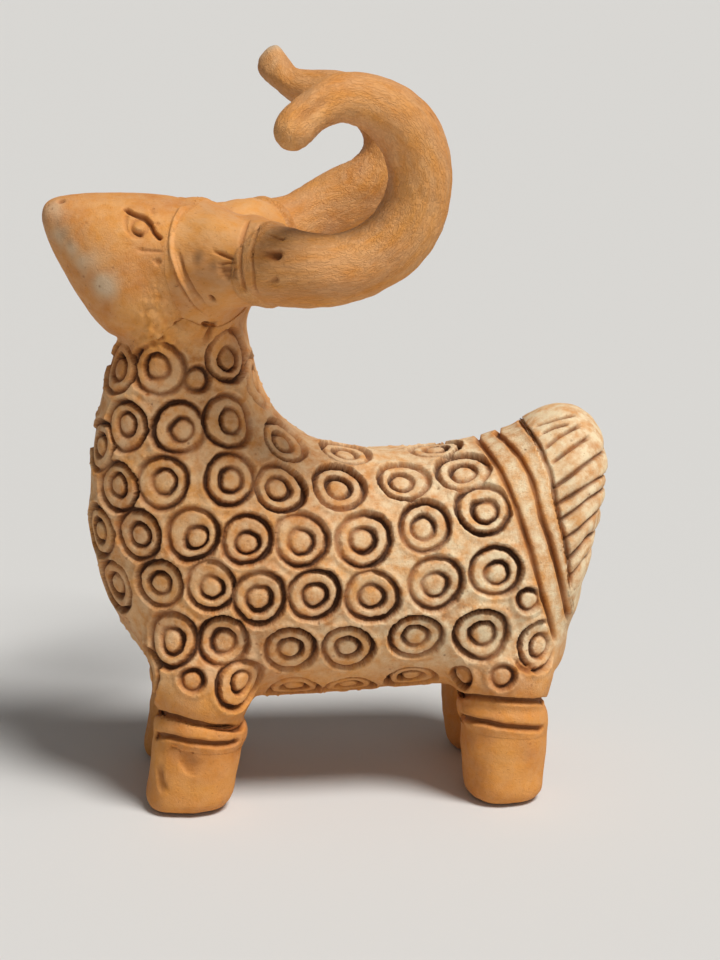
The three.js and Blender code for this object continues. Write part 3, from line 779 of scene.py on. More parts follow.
def stamped(points, normals):
    """The height of all stamps on the trunk, each point's radius in its stamp, and how deep it is pressed."""
    height = np.zeros(len(points))
    lips = np.zeros(len(points))
    ring = np.full(len(points), NO_STAMP)
    press = np.zeros(len(points))
    wobble = uneven(points, WOBBLES)
    worn = 1 + rough(points, *WEAR)
    crumbs = CRUMB_HEIGHT * ramp(noise(points, CRUMB_SIZE, CRUMB_SEED), *CRUMB_LEVELS)
    for s in STAMPS:
        reach = STAMP_REACH * s["scale"]
        near = (np.abs(points - s["centre"]) < reach).all(1)
        near[near] = normals[near] @ s["normal"] > STAMP_FACING
        if not near.any():
            continue
        side = np.cross(s["normal"], (0, 0, 1) if abs(s["normal"][2]) < 0.9 else (1, 0, 0))
        side /= np.linalg.norm(side)
        axes = np.stack([side, np.cross(s["normal"], side)], 1)
        u, v = ((points[near] - s["centre"]) @ axes).T
        angle = np.arctan2(v, u)
        r = np.hypot(u, v) / s["scale"]
        dot_u, dot_v = s["dot"] @ axes
        centred = np.hypot(u - dot_u, v - dot_v) / s["scale"]
        r = centred + (r - centred) * ramp(r, *DOT_SHIFT)
        oval = sum(size * np.sin(turns * angle + phase) for (turns, size), phase in zip(OVALS, s["phases"]))
        r = r * (1 + oval) + wobble[near]
        depth = s["depth"] * (1 + TILT * np.cos(angle - s["tilt"])) * worn[near]
        if s["kind"] == "ring":
            profile = stamp_profile(r, depth)
        else:
            profile = dot_profile(r, depth * SMALL_DEPTH)
            r = np.maximum(OUTER_TRENCH + (r - DOT_TRENCH) * DOT_SCALE, RING_CREST)
        fold = np.exp(-((r - LIP_RADIUS) / LIP_WIDTH) ** 2) * (r > OUTER_TRENCH)
        lips[near] += fold * (LIP_HEIGHT * np.minimum(depth, LIP_DEPTH) + crumbs[near])
        over = (r < OUTER_TRENCH + OVER_MARGIN) | (r < ring[near])
        height[near] = np.where(over, profile, height[near])
        press[near] = np.where(over, depth, press[near])
        ring[near] = np.where(over, r, ring[near])
    return height + np.minimum(lips, LIP_LIMIT) * (ring > OUTER_TRENCH), ring, press


STAMPS = make_stamps()

# Sets of pieces that marks lie on. A mark whose first piece is an anklet goes round the leg, and one whose
# first piece is the body wears off the slip beside it.
HEAD = ("head",)
BODY = ("body",)
TAIL = ("tail",)
RUMP = ("body", "tail")
NEAR_HORN = ("left_horn",)
ROOTED = ("head", "left_horn", "body")
COLLARED = ("left_horn", "left_horn_collar")
FRONT_LEG = ("front_left_leg",)
FRONT_ANKLE = ("front_left_anklet", "front_left_leg", "body")
HIND_ANKLE = ("hind_left_anklet", "hind_left_leg", "body")

# Cut lines and ridges: half width, depth, fade at the ends and pixels. A ridge has a negative depth.
MARKS = {
    HEAD: [
        (0.42, 1.0, 0.06, [(124, 208), (131, 213), (139, 216), (145, 218), (151, 224), (154, 232), (158, 237),
                           (162, 240)]),
        (0.35, 0.35, 0.1, [(127, 213), (126, 222), (127, 230), (132, 236), (137, 238), (145, 237)]),
        (0.4, 0.6, 0.3, [(133, 229), (135, 232), (138, 234), (142, 235), (145, 234)]),
        (0.3, 0.3, 0.2, [(135, 250), (143, 251), (154, 252), (165, 252)]),
        (0.35, 0.25, 0.3, [(150, 208), (153, 212), (155, 216)]),
        (0.35, 0.3, 0.3, [(156, 222), (159, 226)]),
    ],
    ROOTED: [
        (0.36, -0.55, 0.12, [(191, 204), (181, 210), (175, 220), (172, 233), (171, 245), (172, 256),
                             (176, 268), (182, 281), (189, 292), (196, 302), (205, 311), (212, 318)]),
        (0.45, 0.5, 0.25, [(176, 247), (180, 259), (184, 271), (189, 282), (195, 292), (203, 302),
                           (209, 308)]),
        (0.3, 0.35, 0.1, [(174, 268), (179, 283), (186, 294), (193, 303), (202, 312)]),
        (0.6, 0.8, 0.3, [(216, 320), (213, 327), (209, 334), (204, 344)]),
    ],
    COLLARED: [
        (0.4, 0.45, 0.1, [(249, 220), (244, 232), (241, 245), (240, 255), (240, 268), (242, 280), (245, 290),
                          (249, 296)]),
        (0.4, 0.4, 0.1, [(264, 222), (258, 228), (254, 239), (252, 251), (252, 263), (253, 277), (254, 287),
                         (258, 296)]),
        (0.34, 0.6, 0.3, [(211, 251), (221, 254), (230, 258), (236, 261)]),
        (0.28, 0.5, 0.25, [(216, 265), (227, 263), (238, 263)]),
        (0.28, 0.5, 0.25, [(216, 269), (227, 268), (238, 268)]),
        (0.28, 0.5, 0.25, [(217, 273), (228, 271), (238, 271)]),
        (0.28, 0.5, 0.25, [(220, 277), (229, 275), (238, 274)]),
        (0.28, 0.35, 0.25, [(223, 279), (231, 278), (239, 278)]),
    ],
    NEAR_HORN: [(0.9, 0.35, 0.3, [(338, 93), (324, 101), (303, 116), (288, 129)])],
    FRONT_ANKLE: [
        (0.6, 1.0, 0.0, [(155, 711), (170, 717), (193, 723), (216, 728), (236, 729), (242, 728)]),
        (0.6, 1.0, 0.0, [(156, 735), (187, 742), (216, 745), (230, 745), (238, 743)]),
    ],
    HIND_ANKLE: [
        (0.6, 1.0, 0.0, [(455, 694), (464, 696), (476, 698), (508, 702), (534, 703), (546, 702)]),
        (0.6, 1.0, 0.0, [(457, 717), (478, 722), (508, 728), (530, 730), (542, 730)]),
    ],
    FRONT_LEG: [
        (1.0, 0.45, 0.3, [(157, 763), (160, 781), (165, 796)]),
        (1.5, 0.45, 0.4, [(178, 752), (190, 768), (206, 772)]),
    ],
    BODY: [(0.6, 0.8, 0.2, [(516, 658), (521, 668), (529, 671), (537, 665)])],
}

# Gouges made by a tool's tip, each from its shallow end to its deep end: half width, depth and pixels.
GOUGES = {
    COLLARED: [(0.36, 0.6, [(263, 234), (273, 236), (283, 239)])],
    NEAR_HORN: [(0.95, 1.1, [(260, 252), (268, 254), (276, 256)]),
                (0.5, 0.5, [(264, 284), (270, 282), (275, 280)])],
}

# Pin holes and craters: radius, depth and pixel.
HOLES = {
    ROOTED: [(0.6, 1.0, (211, 299)), (0.7, 1.0, (205, 325)), (0.4, 0.5, (176, 324))],
    BODY: [(1.0, 0.7, (159, 338)), (0.7, 0.6, (152, 344))],
    HEAD: [(0.5, 0.4, (157, 262)), (0.6, 0.6, (61, 202))],
}

# The tail's flutes, each from the joint towards the rim: the first ones end before it, the others run on
# round it.
SHORT_FLUTES = 4
FLUTES = [
    [(533, 427), (556, 419), (576, 414)], [(540, 434), (554, 427), (569, 423)],
    [(542, 450), (558, 437), (571, 429), (582, 424)], [(549, 465), (566, 452), (580, 442), (592, 436)],
    [(556, 486), (571, 475), (586, 464), (604, 453)], [(557, 505), (571, 496), (588, 486), (606, 476)],
    [(561, 521), (581, 507), (596, 496), (605, 490)], [(566, 539), (580, 530), (591, 521), (600, 512)],
    [(570, 560), (580, 550), (592, 535)], [(572, 578), (580, 568), (588, 556)],
]

# Half widths and depths of the flutes, of the girth lines and of the line at the tail's joint, and how far
# from their ends they fade.
SHORT_FLUTE_CUTS = [(0.36, 0.85)]
FLUTE_CUTS = [(0.36, 0.75), (1.1, 0.2)]
GIRTH_CUT = (0.46, 0.9)
TAIL_JOINT_CUT = (0.42, 0.85)
FLUTE_FADE = 0.14
ROUND_FADE = 0.03

# Points that carry a line over the animal's back, and how often its points are drawn together there and
# along the whole loop.
OVER_POINTS = 10
OVER_TIMES = 6
LOOP_TIMES = 4


def other_side(name):
    """The piece like this one on the animal's other side."""
    return name.replace("left", "right")


def all_marks():
    """Every mark as it is drawn: pieces, half width, depth, fade, kind and pixels."""
    marks = [(pieces, half_width, depth, fade, "line", drawn(pixels))
             for pieces, rows in MARKS.items() for half_width, depth, fade, pixels in rows]
    marks += [(pieces, half_width, depth, 0.0, "gouge", drawn(pixels))
              for pieces, rows in GOUGES.items() for half_width, depth, pixels in rows]
    marks += [(pieces, radius, depth, 0.0, "line", [(x, y), (x + 1, y)])
              for pieces, rows in HOLES.items() for radius, depth, (x, y) in rows]
    marks += [(BODY, *GIRTH_CUT, ROUND_FADE, "round", drawn(pixels)) for pixels in GIRTH_LINES]
    marks.append((RUMP, *TAIL_JOINT_CUT, ROUND_FADE, "round", drawn(TAIL_JOINT)))
    for pixels in FLUTES[:SHORT_FLUTES]:
        marks += [(TAIL, *size, FLUTE_FADE, "line", drawn(pixels)) for size in SHORT_FLUTE_CUTS]
    for pixels in FLUTES[SHORT_FLUTES:]:
        marks += [(TAIL, *size, 0.0, "round", drawn(pixels)) for size in FLUTE_CUTS]
    return marks


def round_loop(pieces, line, far):
    """One line out of a line and its likeness on the other side, joined over the animal's back or the rim."""
    if pieces != TAIL:
        line, far = line[::-1], far[::-1]
    share = np.linspace(0, 1, OVER_POINTS + 2)[1:-1, None]
    tree = tree_of(pieces)
    over = [tree.find_nearest(Vector(p))[0] for p in line[-1] + (far[-1] - line[-1]) * share]
    return averaged(np.concatenate([line, averaged(np.array(over), OVER_TIMES), far[::-1]]), LOOP_TIMES)


def make_lines():
    """Every mark as a line on the clay, on both sides: pieces, half width, depth, fade, kind and line."""
    marks = all_marks()
    ends = np.cumsum([len(mark[-1]) for mark in marks])[:-1]
    near = np.split(traced([pixel for mark in marks for pixel in mark[-1]]), ends)
    lines = []
    for (pieces, half_width, depth, fade, kind, _), line in zip(marks, near):
        others = tuple(other_side(p) for p in pieces)
        far = mirrored_on(tree_of(others), line)
        if pieces[0].endswith("anklet"):
            line = girdle(CAD[pieces[1]][0], line)
            far = line * (1, -1, 1) + (0, 2 * MIDDLE_Y, 0)
        if kind == "round":
            lines.append((pieces, half_width, depth, fade, "line", round_loop(pieces, line, far)))
            continue
        lines.append((pieces, half_width, depth, fade, kind, line))
        if "left_horn_collar" not in pieces:
            lines.append((others, half_width, depth, fade, kind, far))
    ends = np.cumsum([len(mark[-1]) for mark in lines])[:-1]
    laid = np.split(settled(np.concatenate([mark[-1] for mark in lines])), ends)
    return [(*mark[:-1], line) for mark, line in zip(lines, laid)]


LINES = make_lines()

# The eyes: the near one's pixel, their radius, how high they are domed and where that is full, and the depth
# and width of the groove round them.
PUPIL_PIXEL = (140, 227)
PUPIL_RADIUS = 1.45
PUPIL_DOME, PUPIL_CREST = 0.3, 0.7
PUPIL_GROOVE, PUPIL_GROOVE_WIDTH = 0.4, 0.3
PUPIL = cast(TREES["head"], *PUPIL_PIXEL)
PUPILS = settled(np.array([PUPIL, mirrored_on(TREES["head"], [PUPIL])[0]]))

# How much of the pale slip each kind of piece keeps.
TONES = {"tail": 0.85, "head": 0.16, "horn": 0.2, "collar": 0.2, "leg": 0.1, "anklet": 0.12}

# Pale worn patches and dark spots: piece, pixel and radius. The dark spots are smudges on the head and the
# near horn, and on the neck a painted shadow cast by the near horn. The far horn's tip has a pale patch of
# this radius.
BLOOM_PIXELS = [("head", 52, 214, 3.4), ("head", 58, 238, 3.2), ("head", 88, 262, 3.6),
                ("head", 104, 284, 3.4), ("head", 72, 248, 2.6)]
# The two body spots are painted shadow of the near horn on the neck; the others are smudges.
SMUDGE_AND_SHADOW_PIXELS = [("head", 58, 224, 1.7), ("head", 64, 234, 1.6), ("head", 70, 242, 1.1),
               ("body", 231, 358, 2.6), ("body", 285, 441, 2.2), ("left_horn", 200, 258, 1.6),
               ("left_horn", 214, 264, 1.5)]
TIP_BLOOM = 5.5

# How wrinkled and pitted each kind of piece is, which also sets how much painted shade its wrinkle creases
# get.
WRINKLES = {"horn": 1.0, "collar": 1.0, "head": 0.35, "body": 0.55, "tail": 0.3, "leg": 0.2, "anklet": 0.3}


def placed(pixels):
    """Spots on both sides of the animal."""
    out = []
    for name, x, y, radius in pixels:
        centre = cast(TREES[name], x, y)
        far = mirrored_on(TREES[other_side(name)], [centre])[0]
        out += [(centre, radius), (far, radius)]
    return out


FAR_HORN = CAD["right_horn"][0]
BLOOM = [*placed(BLOOM_PIXELS), (FAR_HORN[FAR_HORN[:, 2].argmax()], TIP_BLOOM)]
SMUDGES_AND_SHADOW = placed(SMUDGE_AND_SHADOW_PIXELS)

# Horns, straightened for their grain.

HORN_ROOT = np.array([-24.1, -0.1, 98.8])
HORN_SPLAY = 27.0

# Each horn's side, its sweep back, its lift, the radius of its curl, the degrees the curl turns through, its
# drift outwards and its rise.
HORN_SHAPES = {"left": (-1, 21.6, 1.2, 15.2, 217, 17.0, -3.0), "right": (1, 27.5, 3.0, 10.7, 248, 17.5, 13.0)}
ARM_POINTS, CURL_POINTS = 39, 80

# The top of the far horn's root is pared down: by how much, where along the figurine that begins, is full and
# ends, and how far up the clay has to face.
PARING = 1.2
FAR_ROOT = (-28.0, -24.0, -18.0, -13.0)
PARED_FACING = (0.2, 0.8)


def horn_line(side):
    """Points along a horn's middle, from the head to its tip."""
    sign, sweep, lift, radius, turn, drift, rise = HORN_SHAPES[side]
    bend = HORN_ROOT + (sweep, sign * HORN_SPLAY, lift)
    share = np.linspace(0, 1, ARM_POINTS + 1)[:-1]
    arm = HORN_ROOT + np.stack([sweep * share, sign * HORN_SPLAY * np.sin(share * math.pi / 2),
                                lift * share ** 3], 1)
    share = np.linspace(0, 1, CURL_POINTS)
    angle = np.radians(turn) * share
    curl = bend + np.stack([radius * np.sin(angle), sign * drift * share ** 3,
                            radius * (1 - np.cos(angle)) + rise * share ** 10], 1)
    return np.concatenate([arm, curl])


def straightened(points, line):
    """Coordinates along a line and across it, as if the line were straight."""
    lengths = np.concatenate([[0], np.cumsum(np.linalg.norm(np.diff(line, axis=0), axis=1))])
    nearest = np.concatenate([
        np.argmin(((part[:, None] - line[None]) ** 2).sum(2), axis=1)
        for part in np.array_split(points, max(1, len(points) // 4000))])
    tangent = np.gradient(line, axis=0)
    tangent /= np.linalg.norm(tangent, axis=1)[:, None]
    inward = np.cross((0, 1, 0), tangent)
    inward /= np.linalg.norm(inward, axis=1)[:, None]
    level = np.cross(tangent, inward)
    offset = points - line[nearest]

    def along(axis):
        return np.einsum("ij,ij->i", offset, axis[nearest])

    return np.stack([lengths[nearest] + along(tangent), along(inward), along(level)], 1)


# Detail of each piece: the hand's unevenness, and more of it on the legs.
LUMPS = [(0.16, 9.0, 11), (0.07, 3.2, 12), (0.03, 1.1, 13)]
LEG_LUMPS = [(0.3, 6.0, 61), (0.12, 2.5, 62)]

# A horn's wrinkles and lumps: how wrinkled its root is, between which places along it that grows, and how far
# the grain is drawn out.
HORN_WRINKLES = (0.06, 0.6, 51)
HORN_LUMPS = (0.05, 1.6, 52)
ROOT_WRINKLE = 0.15
WRINKLED_ALONG = (20.0, 30.0)
GRAIN_STRETCH = 2.5

# Finer wrinkles across the inside of a horn's bend: how far in and along they begin and are full, and how
# they are drawn out.
BEND_WRINKLES = (0.08, 0.6, 53)
BEND_INNER = (-1.0, -4.0)
BEND_ALONG = (40.0, 55.0)
BEND_STRETCH = (1.0, 0.3, 0.3)

# The slip on the trunk: how much everywhere and how much more on the barrel, the places and heights between
# which it grows there, and how far from the head and horns, and how high over the feet, it is full.
TRUNK_TONE, BARREL_TONE = 0.45, 0.5
BARREL_PLACES = (-22.0, 36.0)
BARREL_TOP = (84.0, 66.0)
BARREL_FOOT = (20.0, 34.0)
TONE_REACH = (2.0, 11.0)
TONE_HEIGHTS = (19.0, 31.0)

# How far in front of the girth stamps begin and are full, and how deep a line is that begins to wipe them out
# and does so.
STRAP_REACH = (0.2, 1.2)
STRAP_CUTS = (0.1, 0.5)

# Where lines on the trunk wear off the slip: the width in half widths, and how much of it.
STAIN_WIDTH = 2.4
STAIN_SHARE = 0.7

# How far from an open joint the dirt ends, the depth of a cut that is fully darkened with soil and painted
# shade, and how patchy spots are.
DIRT_REACH = (0.25, 1.2)
FULL_CUT = 0.95
PATCH_LEVEL = 0.75
PATCHES = (0.5, 2.6, 71)

def spots(points, places):
    """How strongly each point is covered by round spots: their centres and radii."""
    cover = np.zeros(len(points))
    for centre, radius in places:
        away = np.linalg.norm(points - centre, axis=1) / radius
        cover = np.maximum(cover, np.exp(-away * away))
    return cover


def line_cuts(name, points):
    """The height of all lines on a piece, and how far those on the trunk wear off its slip."""
    height = np.zeros(len(points))
    stain = np.zeros(len(points))
    for pieces, half_width, depth, fade, kind, line in LINES:
        if name in pieces:
            height += cut(points, line, half_width, depth, fade, kind)
        if name == "body" and pieces[0] == "body":
            worn = cut(points, line, STAIN_WIDTH * half_width, STAIN_SHARE, fade, kind)
            stain = np.minimum(stain, worn)
    return height, stain


def trunk_tone(points):
    """How much slip the trunk keeps: most on the barrel, least near the head, the horns and the feet."""
    x, _, z = points.T
    tone = TRUNK_TONE + BARREL_TONE * ramp(x, *BARREL_PLACES) * ramp(z, *BARREL_TOP) * ramp(z, *BARREL_FOOT)
    root = np.minimum.reduce([field_at(other, points) for other in ("head", *HORNS)])
    tone = TONES["head"] + (tone - TONES["head"]) * ramp(root, *TONE_REACH)
    return TONES["anklet"] + (tone - TONES["anklet"]) * ramp(z, *TONE_HEIGHTS)


def pupil_height(points):
    """The height of both eyes' pupils, domed inside a groove."""
    height = np.zeros(len(points))
    for pupil in PUPILS:
        r = np.linalg.norm(points - pupil, axis=1)
        groove = np.exp(-((r - PUPIL_RADIUS) / PUPIL_GROOVE_WIDTH) ** 2)
        height += PUPIL_DOME * ramp(r, PUPIL_RADIUS, PUPIL_CREST) - PUPIL_GROOVE * groove
    return height


def horn_detail(name, points, normals):
    """A horn's height to add, how wrinkled it is, and coordinates along and across its grain."""
    grain = straightened(points, horn_line(name.split("_")[0]))
    bent = ramp(grain[:, 1], *BEND_INNER) * ramp(grain[:, 0], *BEND_ALONG)
    height = bent * rough(grain * BEND_STRETCH, *BEND_WRINKLES)
    wrinkle = ROOT_WRINKLE + (1 - ROOT_WRINKLE) * ramp(grain[:, 0], *WRINKLED_ALONG)
    grain[:, 0] /= GRAIN_STRETCH
    height += wrinkle * rough(grain, *HORN_WRINKLES) + rough(points, *HORN_LUMPS)
    if name == "right_horn":
        pared = np.interp(points[:, 0], FAR_ROOT, (0.0, 1.0, 1.0, 0.0))
        height -= PARING * ramp(normals[:, 2], *PARED_FACING) * pared
    return clear_of(name, points) * height, wrinkle, grain


def joint_dirt(name, points):
    """The dirt in a piece's open joints."""
    dirt = np.zeros(len(points))
    for pair, amount in OPEN_JOINTS.items():
        if name in pair:
            other = pair[1 - pair.index(name)]
            dirt = np.maximum(dirt, amount * (1 - ramp(field_at(other, points), *DIRT_REACH)))
    return dirt


def detailed(name, points, normals):
    """The height to add at each point, and what its clay looks like there."""
    kind = kind_of(name)
    height = uneven(points, LUMPS)
    lines, stain = line_cuts(name, points)
    pressed = np.zeros(len(points))
    ring = np.full(len(points), NO_STAMP)
    press = np.zeros(len(points))
    wrinkle = np.full(len(points), WRINKLES[kind])
    grain = points
    if name == "body":
        pressed, ring, press = stamped(points, normals)
        straps = ramp(girth_x(points[:, 2]) - points[:, 0], *STRAP_REACH) * (1 - ramp(-lines, *STRAP_CUTS))
        straps *= clear_of(name, points)
        pressed = pressed * straps
        press = press * straps
        height += smeared(name, points, "head")
        tone = trunk_tone(points) * (1 + stain)
    else:
        tone = np.full(len(points), TONES[kind])
    if name == "head":
        lines = lines + pupil_height(points)
        height += smeared(name, points, "body")
    if kind == "horn":
        added, wrinkle, grain = horn_detail(name, points, normals)
        height += added
    if kind in ("leg", "anklet"):
        height += uneven(points, LEG_LUMPS) * clear_of(name, points, BODY)
    patchy = PATCH_LEVEL + rough(points, *PATCHES)
    # The cut shade holds painted shade and soil in cut lines, and dirt along open joints.
    looks = {"cut_shade_and_dirt": np.maximum(np.clip(-lines / FULL_CUT, 0, 1), joint_dirt(name, points)), "tone": tone,
             "ring": ring, "press": press, "wrinkle": wrinkle,
             "bloom": np.clip(spots(points, BLOOM) * patchy, 0, 1),
             "smudge_and_shadow": np.clip(spots(points, SMUDGES_AND_SHADOW) * patchy, 0, 1)}
    return height + lines + pressed, looks, grain


def calmed(points, quads, rim):
    """The points, with those on a joint's edge that stick out drawn back among their neighbours."""
    pairs = np.concatenate([quads[:, [i, (i + 1) % 4]] for i in range(4)])
    count = np.bincount(pairs[:, 0], minlength=len(points))
    near = points[pairs[:, 1]]
    mean = np.stack([np.bincount(pairs[:, 0], near[:, axis], len(points)) for axis in range(3)], 1)
    mean /= np.maximum(count, 1)[:, None]
    stray = rim[np.linalg.norm(points[rim] - mean[rim], axis=1) > STRAY * VOXEL]
    out = points.copy()
    out[stray] = mean[stray]
    return out


def clay_piece(name, material):
    """Builds a piece from its share of the fused clay."""
    points, quads, inner = piece_surface(name)
    normals, shows = outer_normals(points, quads, inner)
    rim = np.intersect1d(quads[inner], quads[~inner])
    shared = clay_normal(points[rim])
    normals[rim] = shared
    height, looks, grain = detailed(name, points, normals)
    moved = calmed(points + normals * (height * shows)[:, None], quads, rim)
    moved = np.clip(moved, np.array(cad_box[0]) / MM, np.array(cad_box[1]) / MM)
    mesh = bpy.data.meshes.new(f"clay_{name}")
    mesh.vertices.add(len(points))
    mesh.loops.add(quads.size)
    mesh.polygons.add(len(quads))
    mesh.vertices.foreach_set("co", (moved * MM).astype(np.float32).ravel())
    mesh.loops.foreach_set("vertex_index", quads.astype(np.int32).ravel())
    mesh.polygons.foreach_set("loop_start", np.arange(0, quads.size, 4, dtype=np.int32))
    mesh.update(calc_edges=True)
    for label, values in looks.items():
        mesh.attributes.new(label, "FLOAT", "POINT").data.foreach_set("value", values.astype(np.float32))
    vectors = mesh.attributes.new("grain", "FLOAT_VECTOR", "POINT").data
    vectors.foreach_set("vector", grain.astype(np.float32).ravel())
    mesh.shade_smooth()
    normals = outer_normals(moved, quads, inner)[0]
    normals[rim] = shared
    mesh.normals_split_custom_set_from_vertices(normals.tolist())
    mesh.update()
    mesh.materials.append(material)
    piece = bpy.data.objects.new(f"clay_{name}", mesh)
    bpy.context.scene.collection.objects.link(piece)
    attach(piece, "root")
    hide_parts(name)
    return piece


# Materials.

def srgb(r, g, b):
    """A colour picked on a 0 to 255 scale, as the linear values that sockets take."""
    shares = [value / 255 for value in (r, g, b)]
    linear = [share / 12.92 if share <= 0.04045 else ((share + 0.055) / 1.055) ** 2.4 for share in shares]
    return (*linear, 1.0)


class Nodes:
    """Adds nodes to a material and links them by socket name."""

    def __init__(self, name):
        self.material = bpy.data.materials.new(name)
        self.material.use_nodes = True
        self.tree = self.material.node_tree
        self.shader = self.tree.nodes["Principled BSDF"]

    def add(self, kind, inputs=None, **settings):
        node = self.tree.nodes.new(kind)
        for key, value in settings.items():
            setattr(node, key, value)
        for key, value in (inputs or {}).items():
            self.put(node.inputs[key], value)
        return node

    def put(self, socket, value):
        if isinstance(value, bpy.types.NodeSocket):
            self.tree.links.new(value, socket)
        else:
            socket.default_value = value

    def attribute(self, name, output="Fac"):
        return self.add("ShaderNodeAttribute", attribute_name=name).outputs[output]

    def noise(self, vector, size, detail, roughness=0.55):
        return self.add("ShaderNodeTexNoise", {"Vector": vector, "Scale": 1 / size, "Detail": detail,
                                               "Roughness": roughness}).outputs["Fac"]

    def step(self, value, low, high, start=0.0, stop=1.0):
        limits = {"From Min": low, "From Max": high, "To Min": start, "To Max": stop}
        return self.add("ShaderNodeMapRange", {"Value": value, **limits}, clamp=True).outputs["Result"]

    def math(self, operation, a, b):
        return self.add("ShaderNodeMath", {0: a, 1: b}, operation=operation).outputs[0]

    def mix(self, share, a, b):
        return self.add("ShaderNodeMix", {0: share, 6: a, 7: b}, data_type="RGBA").outputs[2]


LIGHT_OCHRE = srgb(217, 144, 60)
DARK_OCHRE = srgb(192, 116, 38)
SLIP = srgb(237, 213, 172)
# Soil colour that also stands for painted shade in cuts, stamp trenches, wrinkle creases and pits. The deeper
# one is painted shade at the bottom of deep cuts.
SOIL_AND_SHADE = srgb(132, 70, 20)
DEEP_SOIL_AND_SHADE = srgb(52, 22, 5)
PALE_BLOOM = srgb(208, 184, 152)
SMUDGE_AND_SHADOW_COLOUR = srgb(84, 60, 40)


def clay(name):
    """Fired clay: ochre with a worn pale slip, pale patches, dark smudges and a painted shadow, soil and
    painted shade in the cuts and stamp trenches, painted shade in pits and wrinkle creases, dark grit and
    fine wrinkles.
    """
    n = Nodes(name)
    grain = n.attribute("grain", "Vector")
    broad = n.noise(grain, 9.0, 4)
    middle = n.noise(grain, 2.2, 5, 0.6)
    fine = n.noise(grain, 0.5, 4, 0.7)
    colour = n.mix(n.step(broad, 0.35, 0.65), LIGHT_OCHRE, DARK_OCHRE)
    slip = n.math("MULTIPLY", n.attribute("tone"), n.step(middle, 0.34, 0.62, 0.3, 1.2))
    colour = n.mix(n.step(slip, 0.0, 1.0), colour, SLIP)
    colour = n.mix(n.step(n.attribute("bloom"), 0.15, 0.9, 0.0, 0.8), colour, PALE_BLOOM)
    # Dark smudges, and on the neck a painted shadow of the near horn.
    colour = n.mix(n.step(n.attribute("smudge_and_shadow"), 0.2, 0.9, 0.0, 0.45), colour, SMUDGE_AND_SHADOW_COLOUR)
    ring = n.math("ADD", n.attribute("ring"), n.step(fine, 0.3, 0.7, -0.12, 0.12))
    outer = n.math("ABSOLUTE", n.math("SUBTRACT", ring, OUTER_TRENCH), 0.0)
    inner = n.math("ABSOLUTE", n.math("SUBTRACT", ring, INNER_TRENCH), 0.0)
    trenches = n.step(n.math("MINIMUM", outer, inner), 0.8, 0.1)
    # Cuts and stamp trenches are darkened with soil and painted shade, more where they are pressed deeper.
    cut_shade_and_dirt = n.math("MAXIMUM", n.attribute("cut_shade_and_dirt"), n.math("MULTIPLY", trenches, n.attribute("press")))
    colour = n.mix(n.step(cut_shade_and_dirt, 0.1, 0.75, 0.0, 0.7), colour, SOIL_AND_SHADE)
    colour = n.mix(n.step(cut_shade_and_dirt, 0.75, 1.2, 0.0, 0.85), colour, DEEP_SOIL_AND_SHADE)
    wrinkle = n.attribute("wrinkle")
    creases = n.math("ABSOLUTE", n.math("SUBTRACT", n.noise(grain, 0.6, 2, 0.6), 0.5), 0.0)
    creases = n.step(creases, 0.0, 0.1)
    pits = n.add("ShaderNodeTexVoronoi", {"Vector": grain, "Scale": 0.5}).outputs["Distance"]
    pits = n.math("MAXIMUM", n.step(pits, 0.06, 0.16), n.step(broad, 0.62, 0.5))
    grit = n.step(n.noise(grain, 0.4, 2), 0.64, 0.74, 0.0, 0.4)
    # Wrinkle creases and pits are darkened as painted shade; grit adds dark specks.
    creased_shade_and_grit = n.math("MULTIPLY", n.step(creases, 1.0, 0.0, 0.0, 0.14), wrinkle)
    creased_shade_and_grit = n.math("MAXIMUM", creased_shade_and_grit, n.math("MAXIMUM", grit, n.step(pits, 1.0, 0.0, 0.0, 0.6)))
    colour = n.mix(creased_shade_and_grit, colour, SOIL_AND_SHADE)
    n.put(n.shader.inputs["Base Color"], colour)
    n.put(n.shader.inputs["Roughness"], n.step(fine, 0.3, 0.7, 0.62, 0.88))
    n.shader.inputs["Specular IOR Level"].default_value = 0.35
    relief = n.math("ADD", n.math("MULTIPLY", fine, 0.6), n.math("MULTIPLY", pits, 0.5))
    relief = n.math("ADD", relief, n.math("MULTIPLY", n.math("MULTIPLY", creases, wrinkle), 0.38))
    bump = n.add("ShaderNodeBump", {"Height": relief, "Distance": 0.00025, "Strength": 0.9})
    n.put(n.shader.inputs["Normal"], bump.outputs["Normal"])
    return n.material


BUFF = clay("buff_clay")
OCHRE = clay("ochre_clay")

for node in sorted(CAD):
    if node in ("body", "tail"):
        clay_piece(node, BUFF)
    else:
        clay_piece(node, OCHRE)

# Floor, light and camera.

# In metres: the floor's half width and how far it lies below the feet.
FLOOR_HALF = 4.0
FLOOR_DROP = 0.0002
FLOOR_COLOUR = srgb(212, 210, 206)
FLOOR_ROUGHNESS = 0.8

# The key lamp's direction, power and softness in degrees, and the fill lamp's place, size and power.
KEY_DIRECTION = (0.34, -0.36, 0.87)
KEY_POWER, KEY_SOFTNESS = 3.3, 20
FILL_PLACE = (0.1, -0.95, 0.3)
FILL_SIZE, FILL_POWER = 0.6, 1.3
LAMP_TARGET = (0, 0, 0.06)

# The light from all round, and what is seen behind the floor.
STUDIO_COLOUR = (0.95, 0.97, 1.0, 1)
STUDIO_STRENGTH = 0.1
BACKDROP_COLOUR = (0.72, 0.71, 0.69, 1)

SENSOR_WIDTH = 36.0


def floor_material():
    """A plain pale floor."""
    n = Nodes("pale_floor")
    n.shader.inputs["Base Color"].default_value = FLOOR_COLOUR
    n.shader.inputs["Roughness"].default_value = FLOOR_ROUGHNESS
    return n.material


